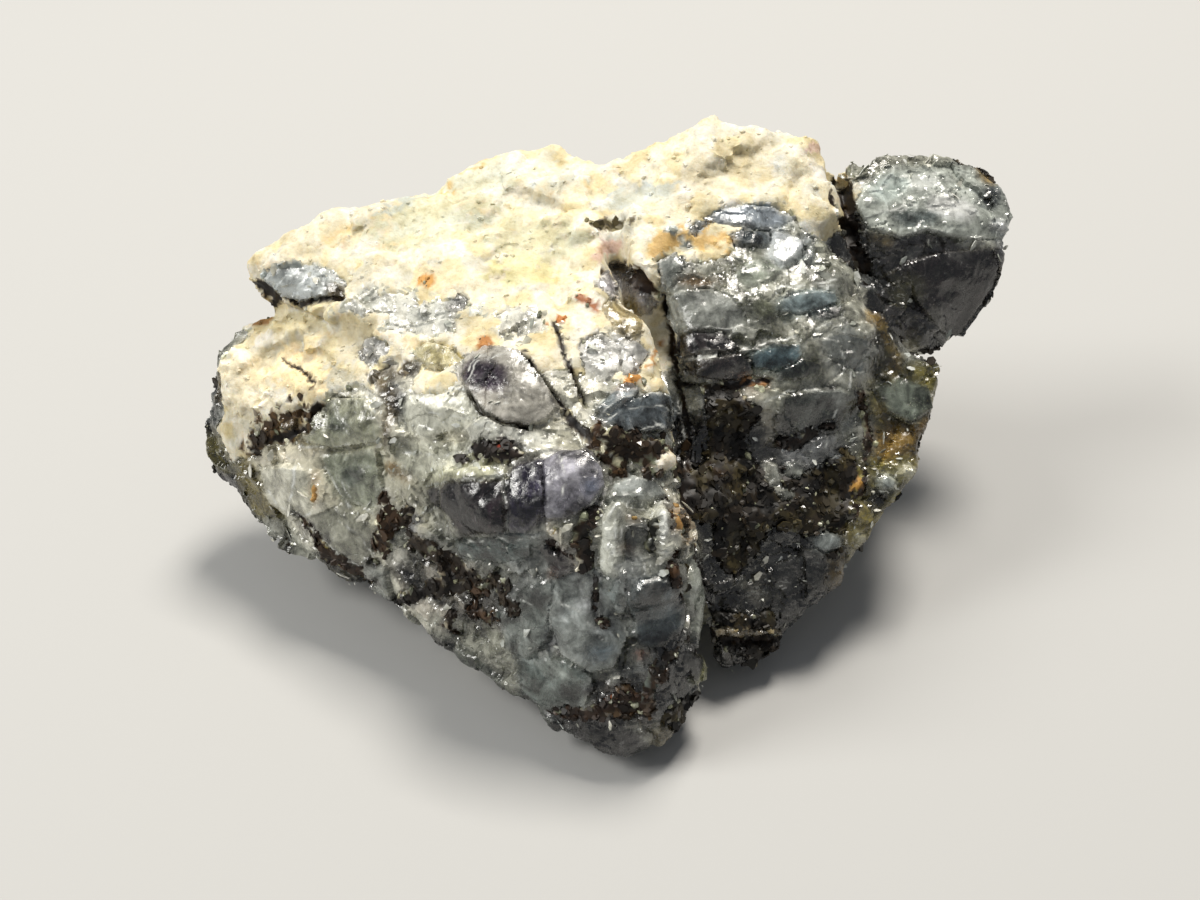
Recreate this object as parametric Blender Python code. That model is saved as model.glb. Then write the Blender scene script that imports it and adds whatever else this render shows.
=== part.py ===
"""A hand piece of alexandrite crystals grown together with their rock.

A pale weathered plateau lies on top. A cluster of glassy crystals leans out at the front, layered
crystals and dark mica stand at the right of a deep fissure, and a knob sticks out at the right end.
It all grew as one solid. X runs along the longest side, the cluster faces -Y, and the piece rests
on a small flat spot at the origin.
"""

import bmesh
import bpy
from mathutils import Vector, kdtree, noise

MM = 0.001  # one millimetre in scene units

# Driving dimensions, in millimetres
FUSE_VOXEL = 0.45       # grid that fuses the blocks into one solid
SKIN_VOXEL = 0.36       # grid that the fissured rock is skinned with
SWELL = 0.45            # height of the broad lumps
SWELL_SIZE = 6.0        # width of the broad lumps
CHIP = 0.34             # height of the broken facets
CHIP_SIZE = 2.6         # width of the broken facets
CHIP_SCATTER = 0.55     # how far a facet's middle may lie off its grid, as a share of the width
CHIP_REACH = 30         # how far from the origin the facets' grid reaches
CHIP_FLOOR = 3          # how far below the origin the facets' grid starts
GRAIN = 0.07            # height of the coarse grain
GRAIN_SIZE = 1.1        # width of the coarse grain
MOUTH_SHARE = 1.6       # half width of a fissure's cutter above the surface, as a share of its width
LIP_SHARE = 0.5         # half width at the surface, as a share of its width
END_SHARE = 0.5         # width and depth at a fissure's two ends, as a share of the rest
REST_HEIGHT = 0.0       # height of the flat spot that the piece rests on
TRIANGLES = 7600        # faces that are left on the finished solid
SEED = 11

# The grown blocks, each the hull of its own corners, in millimetres
BLOCKS = {
    "heart": [
        (-6, -4, -0.5), (-1, -5.5, -0.5), (5, -4.5, -0.5), (7.5, 1, -0.5), (5, 6.5, -0.5),
        (-1, 8, -0.5), (-6.5, 4, -0.5), (-12, -2, 2.5), (-12.5, 5, 3), (-5, 11, 2.5), (6, 11, 2.5),
        (12, 5, 3), (11, -3, 2), (-16, 1, 7), (-16, 8, 8), (-6, 13, 10), (8, 14, 10), (15, 9, 9),
        (15, 2, 8), (4, -6, 7), (-7, -5, 7), (-12, 9, 15), (-2, 13, 17), (10, 12, 17), (12, 6, 14),
        (2, -1, 13), (-9, 1, 13),
    ],
    "underside_ridge": [
        (-5, -6, -0.4), (3, -8, 0.5), (2, -3, -0.5), (-7, -2, -0.4), (-10, -5, 1.6), (-4, -9, 1.4),
        (-2, -5, 3),
    ],
    "plateau": [
        (-11.4, 11.5, 18.3), (-9.7, 13, 19), (-7.4, 13.8, 19.5), (-5.7, 14.8, 20), (-2.3, 15.5, 20.4),
        (0, 13.6, 19.8), (0.5, 2.5, 18.3), (-2, -3.2, 16.3), (-7.9, 1.7, 17), (-12, 3, 16),
        (-12, 5, 11), (-10, 13, 10), (-2, 15, 9), (1, 12, 8), (1, -2, 10), (-8, 0, 10),
    ],
    "left_slab": [
        (-20.5, 9.3, 16.7), (-15.3, 11.8, 18.2), (-11.4, 12, 18.7), (-9.5, 12.5, 19), (-4.5, 1.5, 17.5),
        (-10.8, 3, 16.2), (-14.2, 6.3, 15.8), (-19.3, 7.7, 15), (-20, 8.8, 14.3), (-19.2, 7.6, 13.8),
        (-14, 6, 14), (-10, 4, 13.5), (-8, 12, 14), (-15.5, 11, 14.5),
    ],
    "right_hump": [
        (0, 13, 20), (3.4, 14, 21.2), (6.9, 14.6, 22.8), (9.4, 14.4, 22), (14.2, 15, 20.6),
        (14.2, 11, 19.3), (11, 8.3, 18.5), (4.9, 7.6, 19), (2.1, 4.6, 18.6), (0, 14, 12),
        (7, 15.5, 12), (14, 14.5, 12), (13.5, 10, 13), (5, 7, 14), (2, 4, 13),
    ],
    "apron": [
        (-18.5, 3, 11.6), (-15, 7, 14.6), (-8, 3, 17.2), (-2, 1, 17.9), (3, 2.4, 17.4),
        (3.9, -3, 14.9), (0, -5, 15.5), (-5, -3.6, 15.6), (-9, -2.2, 15.1), (-13.8, 0.8, 13.2),
        (-14, 2, 8), (0, -2, 10), (2.5, 0, 11), (-8, 4, 10),
    ],
    "back_lobe": [
        (-9, 14, 14), (-3, 16.5, 13), (6, 17, 14), (12, 15.5, 13), (9, 15, 5), (-2, 14.5, 4),
        (-8, 12, 6), (0, 8, 2), (8, 8, 2),
    ],
    "white_chunk": [
        (-22.3, 5.7, 12.5), (-20.3, 7.6, 13.5), (-15.2, 7.5, 14.5), (-13.7, 1.7, 12.8),
        (-18.7, 0.7, 9.5), (-22.7, 4.4, 10), (-21.4, 2.8, 7.5), (-19.5, 9.5, 11), (-14, 10, 10),
        (-12, 4, 8), (-17, 3, 5), (-21, 6, 7),
    ],
    "left_foot": [
        (-23, 4.4, 9), (-22.4, 2.9, 5), (-19.3, -0.6, 3.5), (-14.3, -3.5, 3), (-12.6, -5.3, 3.5),
        (-18.9, 1.1, 9), (-11.4, -4.5, 6), (-20.5, 7, 5.5), (-14, 6, 3), (-9, 2, 2.5), (-12, -1, 2),
        (-17, 8, 9), (-11, -1, 11),
    ],
    "front_left": [
        (-18.6, 0.1, 9.5), (-13.8, 1.1, 13), (-8.9, -1.7, 15), (-5.1, -3, 15.5), (-4.5, -6.5, 12),
        (-9.2, -8, 3), (-12.6, -5.3, 3.5), (-16.7, -2.2, 6), (-6.5, -9.5, 2.2), (-10, 3, 8),
        (-2, 2, 8), (-2, -6, 3.5), (-10, -3, 3),
    ],
    "front_middle": [
        (-7, -3.5, 15.2), (0, -4.6, 15.5), (4.6, -3.5, 14.5), (0, -6.9, 14), (-6.5, -6, 13),
        (5.1, -8.9, 10.5), (5.6, -10.3, 6), (-5.4, -10.3, 1.8), (-6.3, -8.6, 5.5), (-1, -11.2, 7.5),
        (3.5, -11.5, 7), (-2, -12.6, 2.5), (0, 0, 10), (5, -2, 8), (3, -8, 1.5), (-4, -7, 1.5),
    ],
    "nose": [
        (-1.5, -11.5, 7), (3, -11.8, 8), (5.6, -10.3, 6), (-1.3, -13.2, 1), (-3.5, -11.7, 1.4),
        (1.1, -14.3, 0.8), (3.6, -13.4, 1), (5.5, -11.1, 3), (0, -13.5, 3.5), (3.5, -13.2, 4),
        (2, -8, 1), (5, -9, 2),
    ],
    "lens_crystal": [
        (-7.5, -1.7, 16.2), (-5.3, -0.1, 17.7), (-3.4, -0.6, 17.6), (-2.2, -2.9, 16.7),
        (-4.2, -4.7, 15.9), (-6.6, -4.2, 15.7), (-5, -2, 14),
    ],
    "eye_crystal": [
        (-1.1, -3.6, 16.3), (1.5, -1.6, 17.4), (3.7, -2.2, 15.9), (4.4, -3.3, 14.5),
        (1.6, -5.5, 15.2), (-0.4, -5.2, 15.8), (1, -2, 13), (3, -2, 13),
    ],
    "purple_crystal": [
        (-8.1, -5, 13.4), (-0.9, -6.6, 15.2), (0.9, -7.8, 13.7), (-0.3, -9.3, 12),
        (-7.7, -7, 9.5), (-8.8, -6, 11.6), (-4, -8.9, 12.4), (-7, -2, 13), (0, -3, 14),
        (0, -5, 11), (-7, -3, 10),
    ],
    "arch_crystal": [
        (1, -8.8, 13.5), (3.8, -8.1, 13.3), (4.7, -9, 11.1), (4.5, -10.8, 9.5), (1, -11.2, 9.5),
        (0.4, -10.2, 11.6), (1, -6, 11), (4, -6, 11), (1, -8, 8.5), (4, -8, 8.5),
    ],
    "upper_plate": [
        (3.8, 4.9, 18.4), (12.6, 8, 18.5), (13.5, 5.6, 17.1), (5, 2.5, 17), (5, 2.2, 15.9),
        (13.4, 5.2, 15.9), (4, 6, 15), (13, 9, 15),
    ],
    "middle_plate": [
        (5, 3, 16.2), (13.6, 5.6, 16.4), (14.8, 3.8, 15.1), (5.8, 0.8, 15.6), (5.8, 0.4, 14.4),
        (14.6, 3.4, 13.8), (5, 5, 13), (14, 7, 13),
    ],
    "lower_plate": [
        (5.6, 1.2, 14.7), (14.4, 4, 14.3), (15.3, 2.5, 12.7), (6.3, -1, 13.7), (6.3, -1.4, 12.3),
        (15, 2, 11.2), (6, 3, 11), (14, 5, 11),
    ],
    "layered_crystals": [
        (3.6, 4.3, 18), (4.9, 6.9, 18.5), (12.8, 8.5, 18), (15.6, 7.1, 16), (17, 5.6, 14),
        (15.5, 2.5, 11.5), (5.3, -1.8, 13), (4.8, 1.9, 15.5), (14.5, 10, 12), (5, 8, 11),
        (6, -1, 9), (14, 2, 8),
    ],
    "mica_mass": [
        (4.6, -0.6, 13), (5.6, -4.6, 9.4), (5.2, -7, 5.4), (5.8, -8.6, 3.5), (8, -8, 1), (10.6, -6.8, 2),
        (13.8, -3.5, 5), (16.9, -1.4, 7.5), (19.1, 3.1, 11), (19.6, 5.2, 12), (15.8, 6.2, 13.5),
        (14, 8, 6), (8, 4, 1), (12, -1, 2), (18, 7, 8),
    ],
    "shelf_plate": [
        (5.9, -8.4, 2.4), (10.4, -7.6, 2.6), (10.8, -6.4, 1.2), (8, -8.4, 0.9), (6, -8.7, 1),
        (7, -4, 3), (10, -4, 3),
    ],
    "knob_root": [
        (12, 9, 17), (18, 12, 16), (17, 8, 13), (14, 14, 10), (20, 12.5, 9.5), (16, 6, 9),
        (12, 8, 7), (17, 11, 6),
    ],
    "knob": [
        (14.5, 14.2, 19.4), (17.4, 15.8, 19.6), (22.9, 16.8, 18.6), (24.5, 13.4, 16.8), (24.2, 11.2, 14),
        (22.8, 10.4, 11), (20.6, 8.9, 9), (15.3, 10, 17), (18.5, 8.1, 12), (22.5, 15.5, 12.5),
        (18, 16, 13), (14, 13, 13), (19.5, 12.5, 8.5), (15, 9, 10),
    ],
}

# The open fissures: where each runs on the surface, which way it goes in, how wide and deep it is
FISSURES = {
    "main_fissure": {
        "path": [(3.6, 3, 17.4), (4.2, 0.6, 15.6), (4.7, -1.8, 13.8), (5, -4.6, 11.5), (5.4, -7, 8.6),
                 (5.9, -8.6, 5.6), (6.2, -9.6, 2.6), (6.4, -10, -1)],
        "inward": (0.1, 1, -0.45), "width": 0.7, "depth": 3.0,
    },
    "front_crack": {
        "path": [(-4.3, 0.4, 17.6), (-2.8, -2.2, 16.6), (-1.6, -4.6, 15.4)],
        "inward": (0.2, 0.6, -1), "width": 0.6, "depth": 1.6,
    },
    "second_crack": {
        "path": [(-2.6, 2.4, 18.4), (-1.6, -0.8, 17.6), (-0.8, -4.2, 15.8)],
        "inward": (0.2, 0.6, -1), "width": 0.5, "depth": 1.4,
    },
    "ledge_crack": {
        "path": [(-20.6, 9.4, 14.1), (-19, 7.2, 13.8), (-16.4, 6.6, 14.4), (-13.6, 5.4, 14.6)],
        "inward": (0.35, 1, 0.1), "width": 0.9, "depth": 3.2,
    },
    "knob_gap": {
        "path": [(13.4, 16.4, 19.6), (13.8, 12.8, 19.4), (14.4, 10, 18.2), (15.8, 8, 16.4),
                 (18, 6.6, 13.6), (20, 6, 10)],
        "inward": (-0.15, 0.75, -0.8), "width": 1.4, "depth": 3.4,
    },
    "hollow_notch": {
        "path": [(-0.1, 4.8, 18.9), (2.2, 4.2, 18.5), (3.4, 2.6, 17.6)],
        "inward": (0.1, 0.9, -0.8), "width": 1.5, "depth": 1.8,
    },
}

# The stone as a whole: pale weathered rock with grey glassy crystals
STONE_COLOUR = (0.36, 0.35, 0.31, 1.0)
STONE_ROUGHNESS = 0.55
STONE_METALLIC = 0.0


def clear_scene():
    """Empty the scene of every object."""
    for thing in list(bpy.data.objects):
        bpy.data.objects.remove(thing, do_unlink=True)


def add_object(name, shape):
    """Make an object of a bmesh and link it to the scene."""
    mesh = bpy.data.meshes.new(name)
    shape.to_mesh(mesh)
    shape.free()
    thing = bpy.data.objects.new(name, mesh)
    bpy.context.scene.collection.objects.link(thing)
    return thing


def blocks_together():
    """All the grown blocks in one mesh, still running through each other."""
    shape = bmesh.new()
    for corners in BLOCKS.values():
        verts = [shape.verts.new(Vector(corner) * MM) for corner in corners]
        made = bmesh.ops.convex_hull(shape, input=verts)
        inside = {vert for vert in made["geom_interior"] if isinstance(vert, bmesh.types.BMVert)}
        inside |= {vert for vert in made["geom_unused"] if isinstance(vert, bmesh.types.BMVert)}
        bmesh.ops.delete(shape, geom=list(inside), context="VERTS")
    bmesh.ops.recalc_face_normals(shape, faces=shape.faces)
    return add_object("alexandrite_crystal", shape)


def fissure_cutter(name, path, inward, width, depth):
    """A wedge along a fissure: open above the surface and closing to an edge inside the rock."""
    points = [Vector(point) for point in path]
    into = Vector(inward).normalized()
    shape = bmesh.new()
    rings = []
    for index, point in enumerate(points):
        along = points[min(index + 1, len(points) - 1)] - points[max(index - 1, 0)]
        across = along.cross(into).normalized()
        mouth = point - into * depth
        taper = 1.0 if 0 < index < len(points) - 1 else END_SHARE
        half = across * width * taper
        corners = (mouth - half * MOUTH_SHARE, mouth + half * MOUTH_SHARE, point + half * LIP_SHARE,
                   point + into * depth * taper, point - half * LIP_SHARE)
        rings.append([shape.verts.new(corner * MM) for corner in corners])
    for ring, following in zip(rings, rings[1:]):
        for side in range(len(ring)):
            turn = (side + 1) % len(ring)
            shape.faces.new((ring[side], ring[turn], following[turn], following[side]))
    shape.faces.new(rings[0][::-1])
    shape.faces.new(rings[-1])
    bmesh.ops.triangulate(shape, faces=shape.faces)
    bmesh.ops.recalc_face_normals(shape, faces=shape.faces)
    cutter = add_object(name, shape)
    cutter.hide_render = True
    cutter.display_type = "WIRE"
    return cutter


def skin(thing, voxel):
    """Fuse what the object holds into one even skin."""
    remesh = thing.modifiers.new("Skin", "REMESH")
    remesh.mode = "VOXEL"
    remesh.voxel_size = voxel * MM


def settle(thing):
    """Turn the object's modifiers into its own mesh."""
    depsgraph = bpy.context.evaluated_depsgraph_get()
    mesh = bpy.data.meshes.new_from_object(thing.evaluated_get(depsgraph))
    thing.modifiers.clear()
    thing.data = mesh


def facet_seeds():
    """Random points on a jittered grid through the rock, each with its own tilt."""
    noise.seed_set(SEED)
    steps = int(2 * CHIP_REACH / CHIP_SIZE)
    places = []
    for i in range(steps):
        for j in range(steps):
            for k in range(int(steps / 2)):
                corner = Vector((i, j, k)) * CHIP_SIZE - Vector((CHIP_REACH, CHIP_REACH, CHIP_FLOOR))
                places.append(corner + noise.random_unit_vector() * CHIP_SIZE * CHIP_SCATTER)
    tilts = [noise.random_unit_vector() for place in places]
    tree = kdtree.KDTree(len(places))
    for index, place in enumerate(places):
        tree.insert(place, index)
    tree.balance()
    return tree, places, tilts


def roughen(thing):
    """Give the skin its lumps, its broken facets and its coarse grain."""
    tree, places, tilts = facet_seeds()
    shape = bmesh.new()
    shape.from_mesh(thing.data)
    shape.normal_update()
    moves = []
    for vert in shape.verts:
        point = vert.co / MM
        lump = noise.fractal(point / SWELL_SIZE, 1.0, 2.0, 2)
        index = tree.find(point)[1]
        chip = (point - places[index]).dot(tilts[index]) / CHIP_SIZE
        grain = noise.noise(point / GRAIN_SIZE)
        height = SWELL * lump + CHIP * chip + GRAIN * grain
        moves.append(vert.normal * height * MM)
    for vert, move in zip(shape.verts, moves):
        vert.co += move
    shape.to_mesh(thing.data)
    shape.free()


def drop_crumbs(shape):
    """Delete every loose bit but the largest."""
    left = set(shape.verts)
    groups = []
    while left:
        queue = [left.pop()]
        group = []
        while queue:
            vert = queue.pop()
            group.append(vert)
            for edge in vert.link_edges:
                other = edge.other_vert(vert)
                if other in left:
                    left.remove(other)
                    queue.append(other)
        groups.append(group)
    groups.sort(key=len)
    for group in groups[:-1]:
        bmesh.ops.delete(shape, geom=group, context="VERTS")


def cut_rest_spot(thing):
    """Cut the underside flat where the piece rests."""
    shape = bmesh.new()
    shape.from_mesh(thing.data)
    drop_crumbs(shape)
    geometry = shape.verts[:] + shape.edges[:] + shape.faces[:]
    cut = bmesh.ops.bisect_plane(shape, geom=geometry, dist=1e-7, clear_inner=True,
                                 plane_co=(0, 0, REST_HEIGHT * MM), plane_no=(0, 0, 1))
    rim = [item for item in cut["geom_cut"] if isinstance(item, bmesh.types.BMEdge)]
    bmesh.ops.holes_fill(shape, edges=rim, sides=0)
    bmesh.ops.triangulate(shape, faces=shape.faces)
    bmesh.ops.recalc_face_normals(shape, faces=shape.faces)
    shape.to_mesh(thing.data)
    shape.free()


def stone_material():
    """The stone's plain colour and finish."""
    material = bpy.data.materials.new("weathered_crystal_rock")
    material.use_nodes = True
    shader = material.node_tree.nodes["Principled BSDF"]
    shader.inputs["Base Color"].default_value = STONE_COLOUR
    shader.inputs["Roughness"].default_value = STONE_ROUGHNESS
    shader.inputs["Metallic"].default_value = STONE_METALLIC
    return material


def main():
    """Grow the blocks together, open the fissures, roughen the skin and cut the rest spot."""
    clear_scene()
    stone = blocks_together()
    skin(stone, FUSE_VOXEL)
    settle(stone)
    for name, facts in FISSURES.items():
        cut = stone.modifiers.new(name, "BOOLEAN")
        cut.operation = "DIFFERENCE"
        cut.object = fissure_cutter(name, **facts)
    skin(stone, SKIN_VOXEL)
    settle(stone)
    roughen(stone)
    thin = stone.modifiers.new("Thin", "DECIMATE")
    thin.ratio = min(1.0, TRIANGLES / (2.0 * len(stone.data.polygons)))
    settle(stone)
    cut_rest_spot(stone)
    stone.data.materials.clear()
    stone.data.materials.append(stone_material())


main()
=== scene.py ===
import math
from types import SimpleNamespace

import bpy
import numpy as np
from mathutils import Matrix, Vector, kdtree, noise
from mathutils.bvhtree import BVHTree


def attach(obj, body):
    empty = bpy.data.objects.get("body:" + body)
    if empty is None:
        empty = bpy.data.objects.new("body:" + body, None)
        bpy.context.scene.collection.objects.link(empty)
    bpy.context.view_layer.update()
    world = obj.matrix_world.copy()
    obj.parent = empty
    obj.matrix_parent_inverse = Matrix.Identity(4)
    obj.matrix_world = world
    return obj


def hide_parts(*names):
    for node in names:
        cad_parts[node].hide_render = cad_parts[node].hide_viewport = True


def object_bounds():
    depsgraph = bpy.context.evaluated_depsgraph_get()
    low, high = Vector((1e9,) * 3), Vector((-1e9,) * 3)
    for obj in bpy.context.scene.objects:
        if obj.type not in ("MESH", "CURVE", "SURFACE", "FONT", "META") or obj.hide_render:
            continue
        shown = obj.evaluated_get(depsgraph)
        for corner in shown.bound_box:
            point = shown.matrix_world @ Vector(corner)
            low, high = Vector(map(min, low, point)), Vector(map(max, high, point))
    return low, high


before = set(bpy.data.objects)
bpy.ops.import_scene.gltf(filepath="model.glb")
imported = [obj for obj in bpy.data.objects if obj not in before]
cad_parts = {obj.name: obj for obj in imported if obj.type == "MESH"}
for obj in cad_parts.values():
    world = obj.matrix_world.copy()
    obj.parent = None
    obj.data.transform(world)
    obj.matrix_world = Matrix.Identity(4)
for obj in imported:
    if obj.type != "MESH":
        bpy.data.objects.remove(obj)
cad_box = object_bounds()

MM = 0.001  # one millimetre in metres

# The photograph's camera: it looks down on the stone's front, along +Y
PHOTO_WIDTH = 1200
PHOTO_HEIGHT = 900
HALF_WIDTH, HALF_HEIGHT = PHOTO_WIDTH / 2, PHOTO_HEIGHT / 2
LOOK_DOWN = math.radians(42.0)
LOOK_FROM = 91.5        # millimetres from the point looked at
LOOK_AT = (0.0, 0.0, 10.0)
LENS = 50.0
FILM_WIDTH = 36.0
HALF_VIEW = FILM_WIDTH / 2 / LENS
PIXELS_PER_MM = 18.2    # of the photograph, at the stone
FAR = 60.0              # pixels from a line that are as good as far away

# The stone's skin, in millimetres
BROAD_VOXEL = 0.24      # grid that the broad shape is skinned with
BROAD_SMOOTHING = 6     # rounds
SKIN_VOXEL = 0.15       # grid that the fine shape is skinned with
SKIN_TRIANGLES = 196000
SKIN_SHARP = math.radians(38)
BLOCK_SIZE = 2.3        # width of the broken blocks
GRAIN_SIZE = 1.0        # width of the mineral grains
CRUMB_SIZE = 0.45       # width of the sugary crumbs
CRUMB_EDGE = 0.4        # share of a crumb's width that rounds its edge
CRUMB_SWELL = 0.6       # how much of its height that edge gives
SPREAD_STEP = 4         # one point in this many of the skin may become a block's middle
GRID_JITTER = 1.1       # how far grains lie from their grid, as a share of its step
NOISE_SHIFTS = (0, 40, 80)      # far enough apart for noises that have nothing in common
DARKEST = 0.86          # the shade of the darkest grain of its colour
GRAIN_SHADE = 0.16      # how much lighter a grain may be
BLOCK_SHADE = 0.12      # and a block
REST_SPOT = 0.15        # up to this height nothing moves, because the stone rests there
REST_FREE = 0.8         # and above it all is free after this much more
HIDDEN_BY = 0.9         # a place this far behind what the camera sees is hidden from it
FACING = -0.03          # skin that leans further away than this isn't seen

# The borders between minerals: millimetres, or pixels of the photograph where it says so
WANDER_SIZE = 1.2       # width of the bends in the borders
SPECK_SIZE = 0.55       # width of the specks along them
BLOCK_STRAY = 0.45      # how far the blocks' borders stray
CRYSTAL_STRAY = 1.5     # pixels that the crystals' borders stray
SPOT_STRAY = 4.0        # and those of the spots and seams
CRACK_STRAY = 3.0       # and those of the open cracks
VEIN_STRAY = 2.5        # and the healed veins
VEIN_BEND = 0.7         # width of a vein's bends
VEIN_GAP = 0.5          # width of the stretches where it thins out
THIN_VEIN = 0.6         # a vein's width as a share of the one drawn
LINE_EDGE = 1.3         # half widths from its middle at which a line has faded out, over one of them
VEIN_LEVEL = 0.6        # strength of a vein, and how much it swings
VEIN_SWING = 1.5
SPOT_SLOPE = 3          # how steeply a raised spot rises from its rim
MICA_SEAM = 0.35        # width of the mica between the blocks that the photograph doesn't show
LEAST_SEAM = 0.01
SEAM_STRAY = 0.5        # how much such a seam thickens and thins
BLOCK_VEIN = 0.15       # width of the veins there
VEIN_START = 0.1        # and the noise above which there is one

# The clear layer, in millimetres
SEAT_DEPTH = 0.75       # how thick it lies over the rock
GLASS_DEPTH = 1.25      # how deep its body reaches, rock and all
RIM_DROP = 0.45         # how far it dips under the rock at its rim
LOWEST_GLASS = 1.0      # it stays clear of the floor
POLISHING = 14          # rounds of smoothing under it
LAYER_BLUR = 3          # rounds of evening out where it begins and ends
RIM_ROUNDS = 30         # rounds of mending its rim at most
MILK_SPREAD = 0.3       # how much the blocks of one mineral differ in milkiness
GLASS_RIM = 0.12        # the share of glass in the skin where it begins
RIM_SHARE = 0.38        # and how much more share it takes to rise out of the rock
SEAT_RIM = 0.42         # the share of glass where the rock begins to make room for it
SEAT_SHARE = 0.4
MILKY_SEAT = 0.5        # how much shallower milky parts lie
BLOCK_RELIEF = 0.18     # slopes of its broken blocks
FACE_RELIEF = 0.04      # slopes of the small faces on its smooth crystals
GRAIN_RELIEF = 0.12     # and elsewhere
ROUGH_RELIEF = 0.16     # and in its smoky parts
MILKY_FACE = 0.75       # crystals milkier than this are broken all over
RIPPLE_HEIGHT = 0.04    # waves of the broken faces
RIPPLE_SIZE = 0.9
CROWN_PLANES = 3        # leaning planes that cut a crystal's face
FEWEST_POINTS = 3       # a crystal that shows at fewer points than that has no face of its own
LEAST_LEAN = 0.04       # slopes of those planes
MOST_LEAN = 0.22
EDGE_SLOPE = 1.4        # slope of a crystal's broken edge
EDGE_START = -0.03      # height at its outline
LOWEST_FACE = -0.25     # no face is cut deeper
FACE_MIDDLE = 0.3       # how far past its middle a face keeps the crystal's full height
GLASS_SHARP = math.radians(18)

# The fissure between the front crystals and the layered ones: its place at a height, and its lean
FISSURE_ACROSS = 3.4
FISSURE_HEIGHT = 17.4
FISSURE_LEAN = 0.16
SEEN_BLUR = 6           # rounds by which the front pieces reach past what the camera sees
SEEN_SHARE = 0.02

SEED = 7


def linear(hex_colour, alpha=1.0):
    """An sRGB hex colour as linear red, green, blue and alpha."""
    parts = [int(hex_colour[i:i + 2], 16) / 255 for i in (1, 3, 5)]
    return [part / 12.92 if part <= 0.04045 else ((part + 0.055) / 1.055) ** 2.4 for part in parts] + [alpha]


def colour_list(hexes):
    """Several hex colours as rows of linear red, green and blue."""
    return np.array([linear(colour)[:3] for colour in hexes])


def deselect():
    """Leave nothing selected and nothing active."""
    for piece in bpy.context.selected_objects:
        piece.select_set(False)
    bpy.context.view_layer.objects.active = None


def take(piece):
    """Make one object the selected and active one."""
    deselect()
    piece.select_set(True)
    bpy.context.view_layer.objects.active = piece


def apply_modifier(piece, kind, **settings):
    """Add a modifier with its settings and apply it."""
    take(piece)
    modifier = piece.modifiers.new(kind.title(), kind)
    for name, value in settings.items():
        setattr(modifier, name, value)
    bpy.ops.object.modifier_apply(modifier=modifier.name)


def new_mesh(name, points, faces):
    """A mesh of faces between points, which are given in millimetres."""
    mesh = bpy.data.meshes.new(name)
    mesh.from_pydata((points * MM).tolist(), [], faces)
    return mesh


def new_piece(name, mesh):
    """An object in the scene for a mesh."""
    piece = bpy.data.objects.new(name, mesh)
    bpy.context.scene.collection.objects.link(piece)
    return piece


def carry(piece):
    """Make a finished piece part of the stone: it stands for the solid and moves with it."""
    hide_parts("alexandrite_crystal")
    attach(piece, "root")


def mesh_points(piece):
    """A mesh's points in millimetres."""
    points = np.empty(len(piece.data.vertices) * 3)
    piece.data.vertices.foreach_get("co", points)
    return points.reshape(-1, 3) / MM


def mesh_normals(piece):
    """The direction in which a mesh faces at each of its points."""
    normals = np.empty(len(piece.data.vertices) * 3)
    piece.data.vertex_normals.foreach_get("vector", normals)
    return normals.reshape(-1, 3)


def mesh_corners(piece):
    """The point at each corner of a mesh's faces, face by face."""
    corners = np.empty(len(piece.data.loops), np.int64)
    piece.data.loops.foreach_get("vertex_index", corners)
    return corners


def move_points(piece, points):
    """Put a mesh's points at these places, given in millimetres."""
    piece.data.vertices.foreach_set("co", (points * MM).ravel())
    piece.data.update()


def store(mesh, name, values):
    """Store a number or a colour on each point of a mesh."""
    if values.ndim == 1:
        mesh.attributes.new(name, "FLOAT", "POINT").data.foreach_set("value", values.astype(np.float32))
    else:
        colours = np.ones((len(values), 4), np.float32)
        colours[:, :3] = values
        mesh.attributes.new(name, "FLOAT_COLOR", "POINT").data.foreach_set("color", colours.ravel())


def ease(share):
    """A soft step from 0 to 1."""
    share = np.clip(share, 0, 1)
    return share * share * (3 - 2 * share)


def noise_at(places, size, octaves=1, shift=0.0):
    """Smooth noise of that size at each place, from -1 to 1."""
    spots = (places + shift) / size
    if octaves == 1:
        return np.array([noise.noise(Vector(spot)) for spot in spots])
    return np.array([noise.fractal(Vector(spot), 1.0, 2.0, octaves) for spot in spots])


# Where the photograph's pixels fall

CAMERA_SPOT = np.array(LOOK_AT) + LOOK_FROM * np.array((0.0, -math.cos(LOOK_DOWN), math.sin(LOOK_DOWN)))
CAMERA_AHEAD = np.array((0.0, math.cos(LOOK_DOWN), -math.sin(LOOK_DOWN)))
CAMERA_UP = np.array((0.0, math.sin(LOOK_DOWN), math.cos(LOOK_DOWN)))


def to_photo(places):
    """The photograph's pixel of each place, given in millimetres."""
    offset = places - CAMERA_SPOT
    ahead = offset @ CAMERA_AHEAD
    across = HALF_WIDTH + HALF_WIDTH * offset[:, 0] / ahead / HALF_VIEW
    down = HALF_HEIGHT - HALF_WIDTH * (offset @ CAMERA_UP) / ahead / HALF_VIEW
    return np.column_stack((across, down))


def in_outline(pixels, outline):
    """Which pixels lie inside an outline."""
    inside = np.zeros(len(pixels), bool)
    across, down = pixels[:, 0], pixels[:, 1]
    for (x0, y0), (x1, y1) in zip(outline, outline[1:] + outline[:1]):
        if y0 != y1:
            crosses = (y0 > down) != (y1 > down)
            inside ^= crosses & (across < (x1 - x0) * (down - y0) / (y1 - y0) + x0)
    return inside


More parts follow.
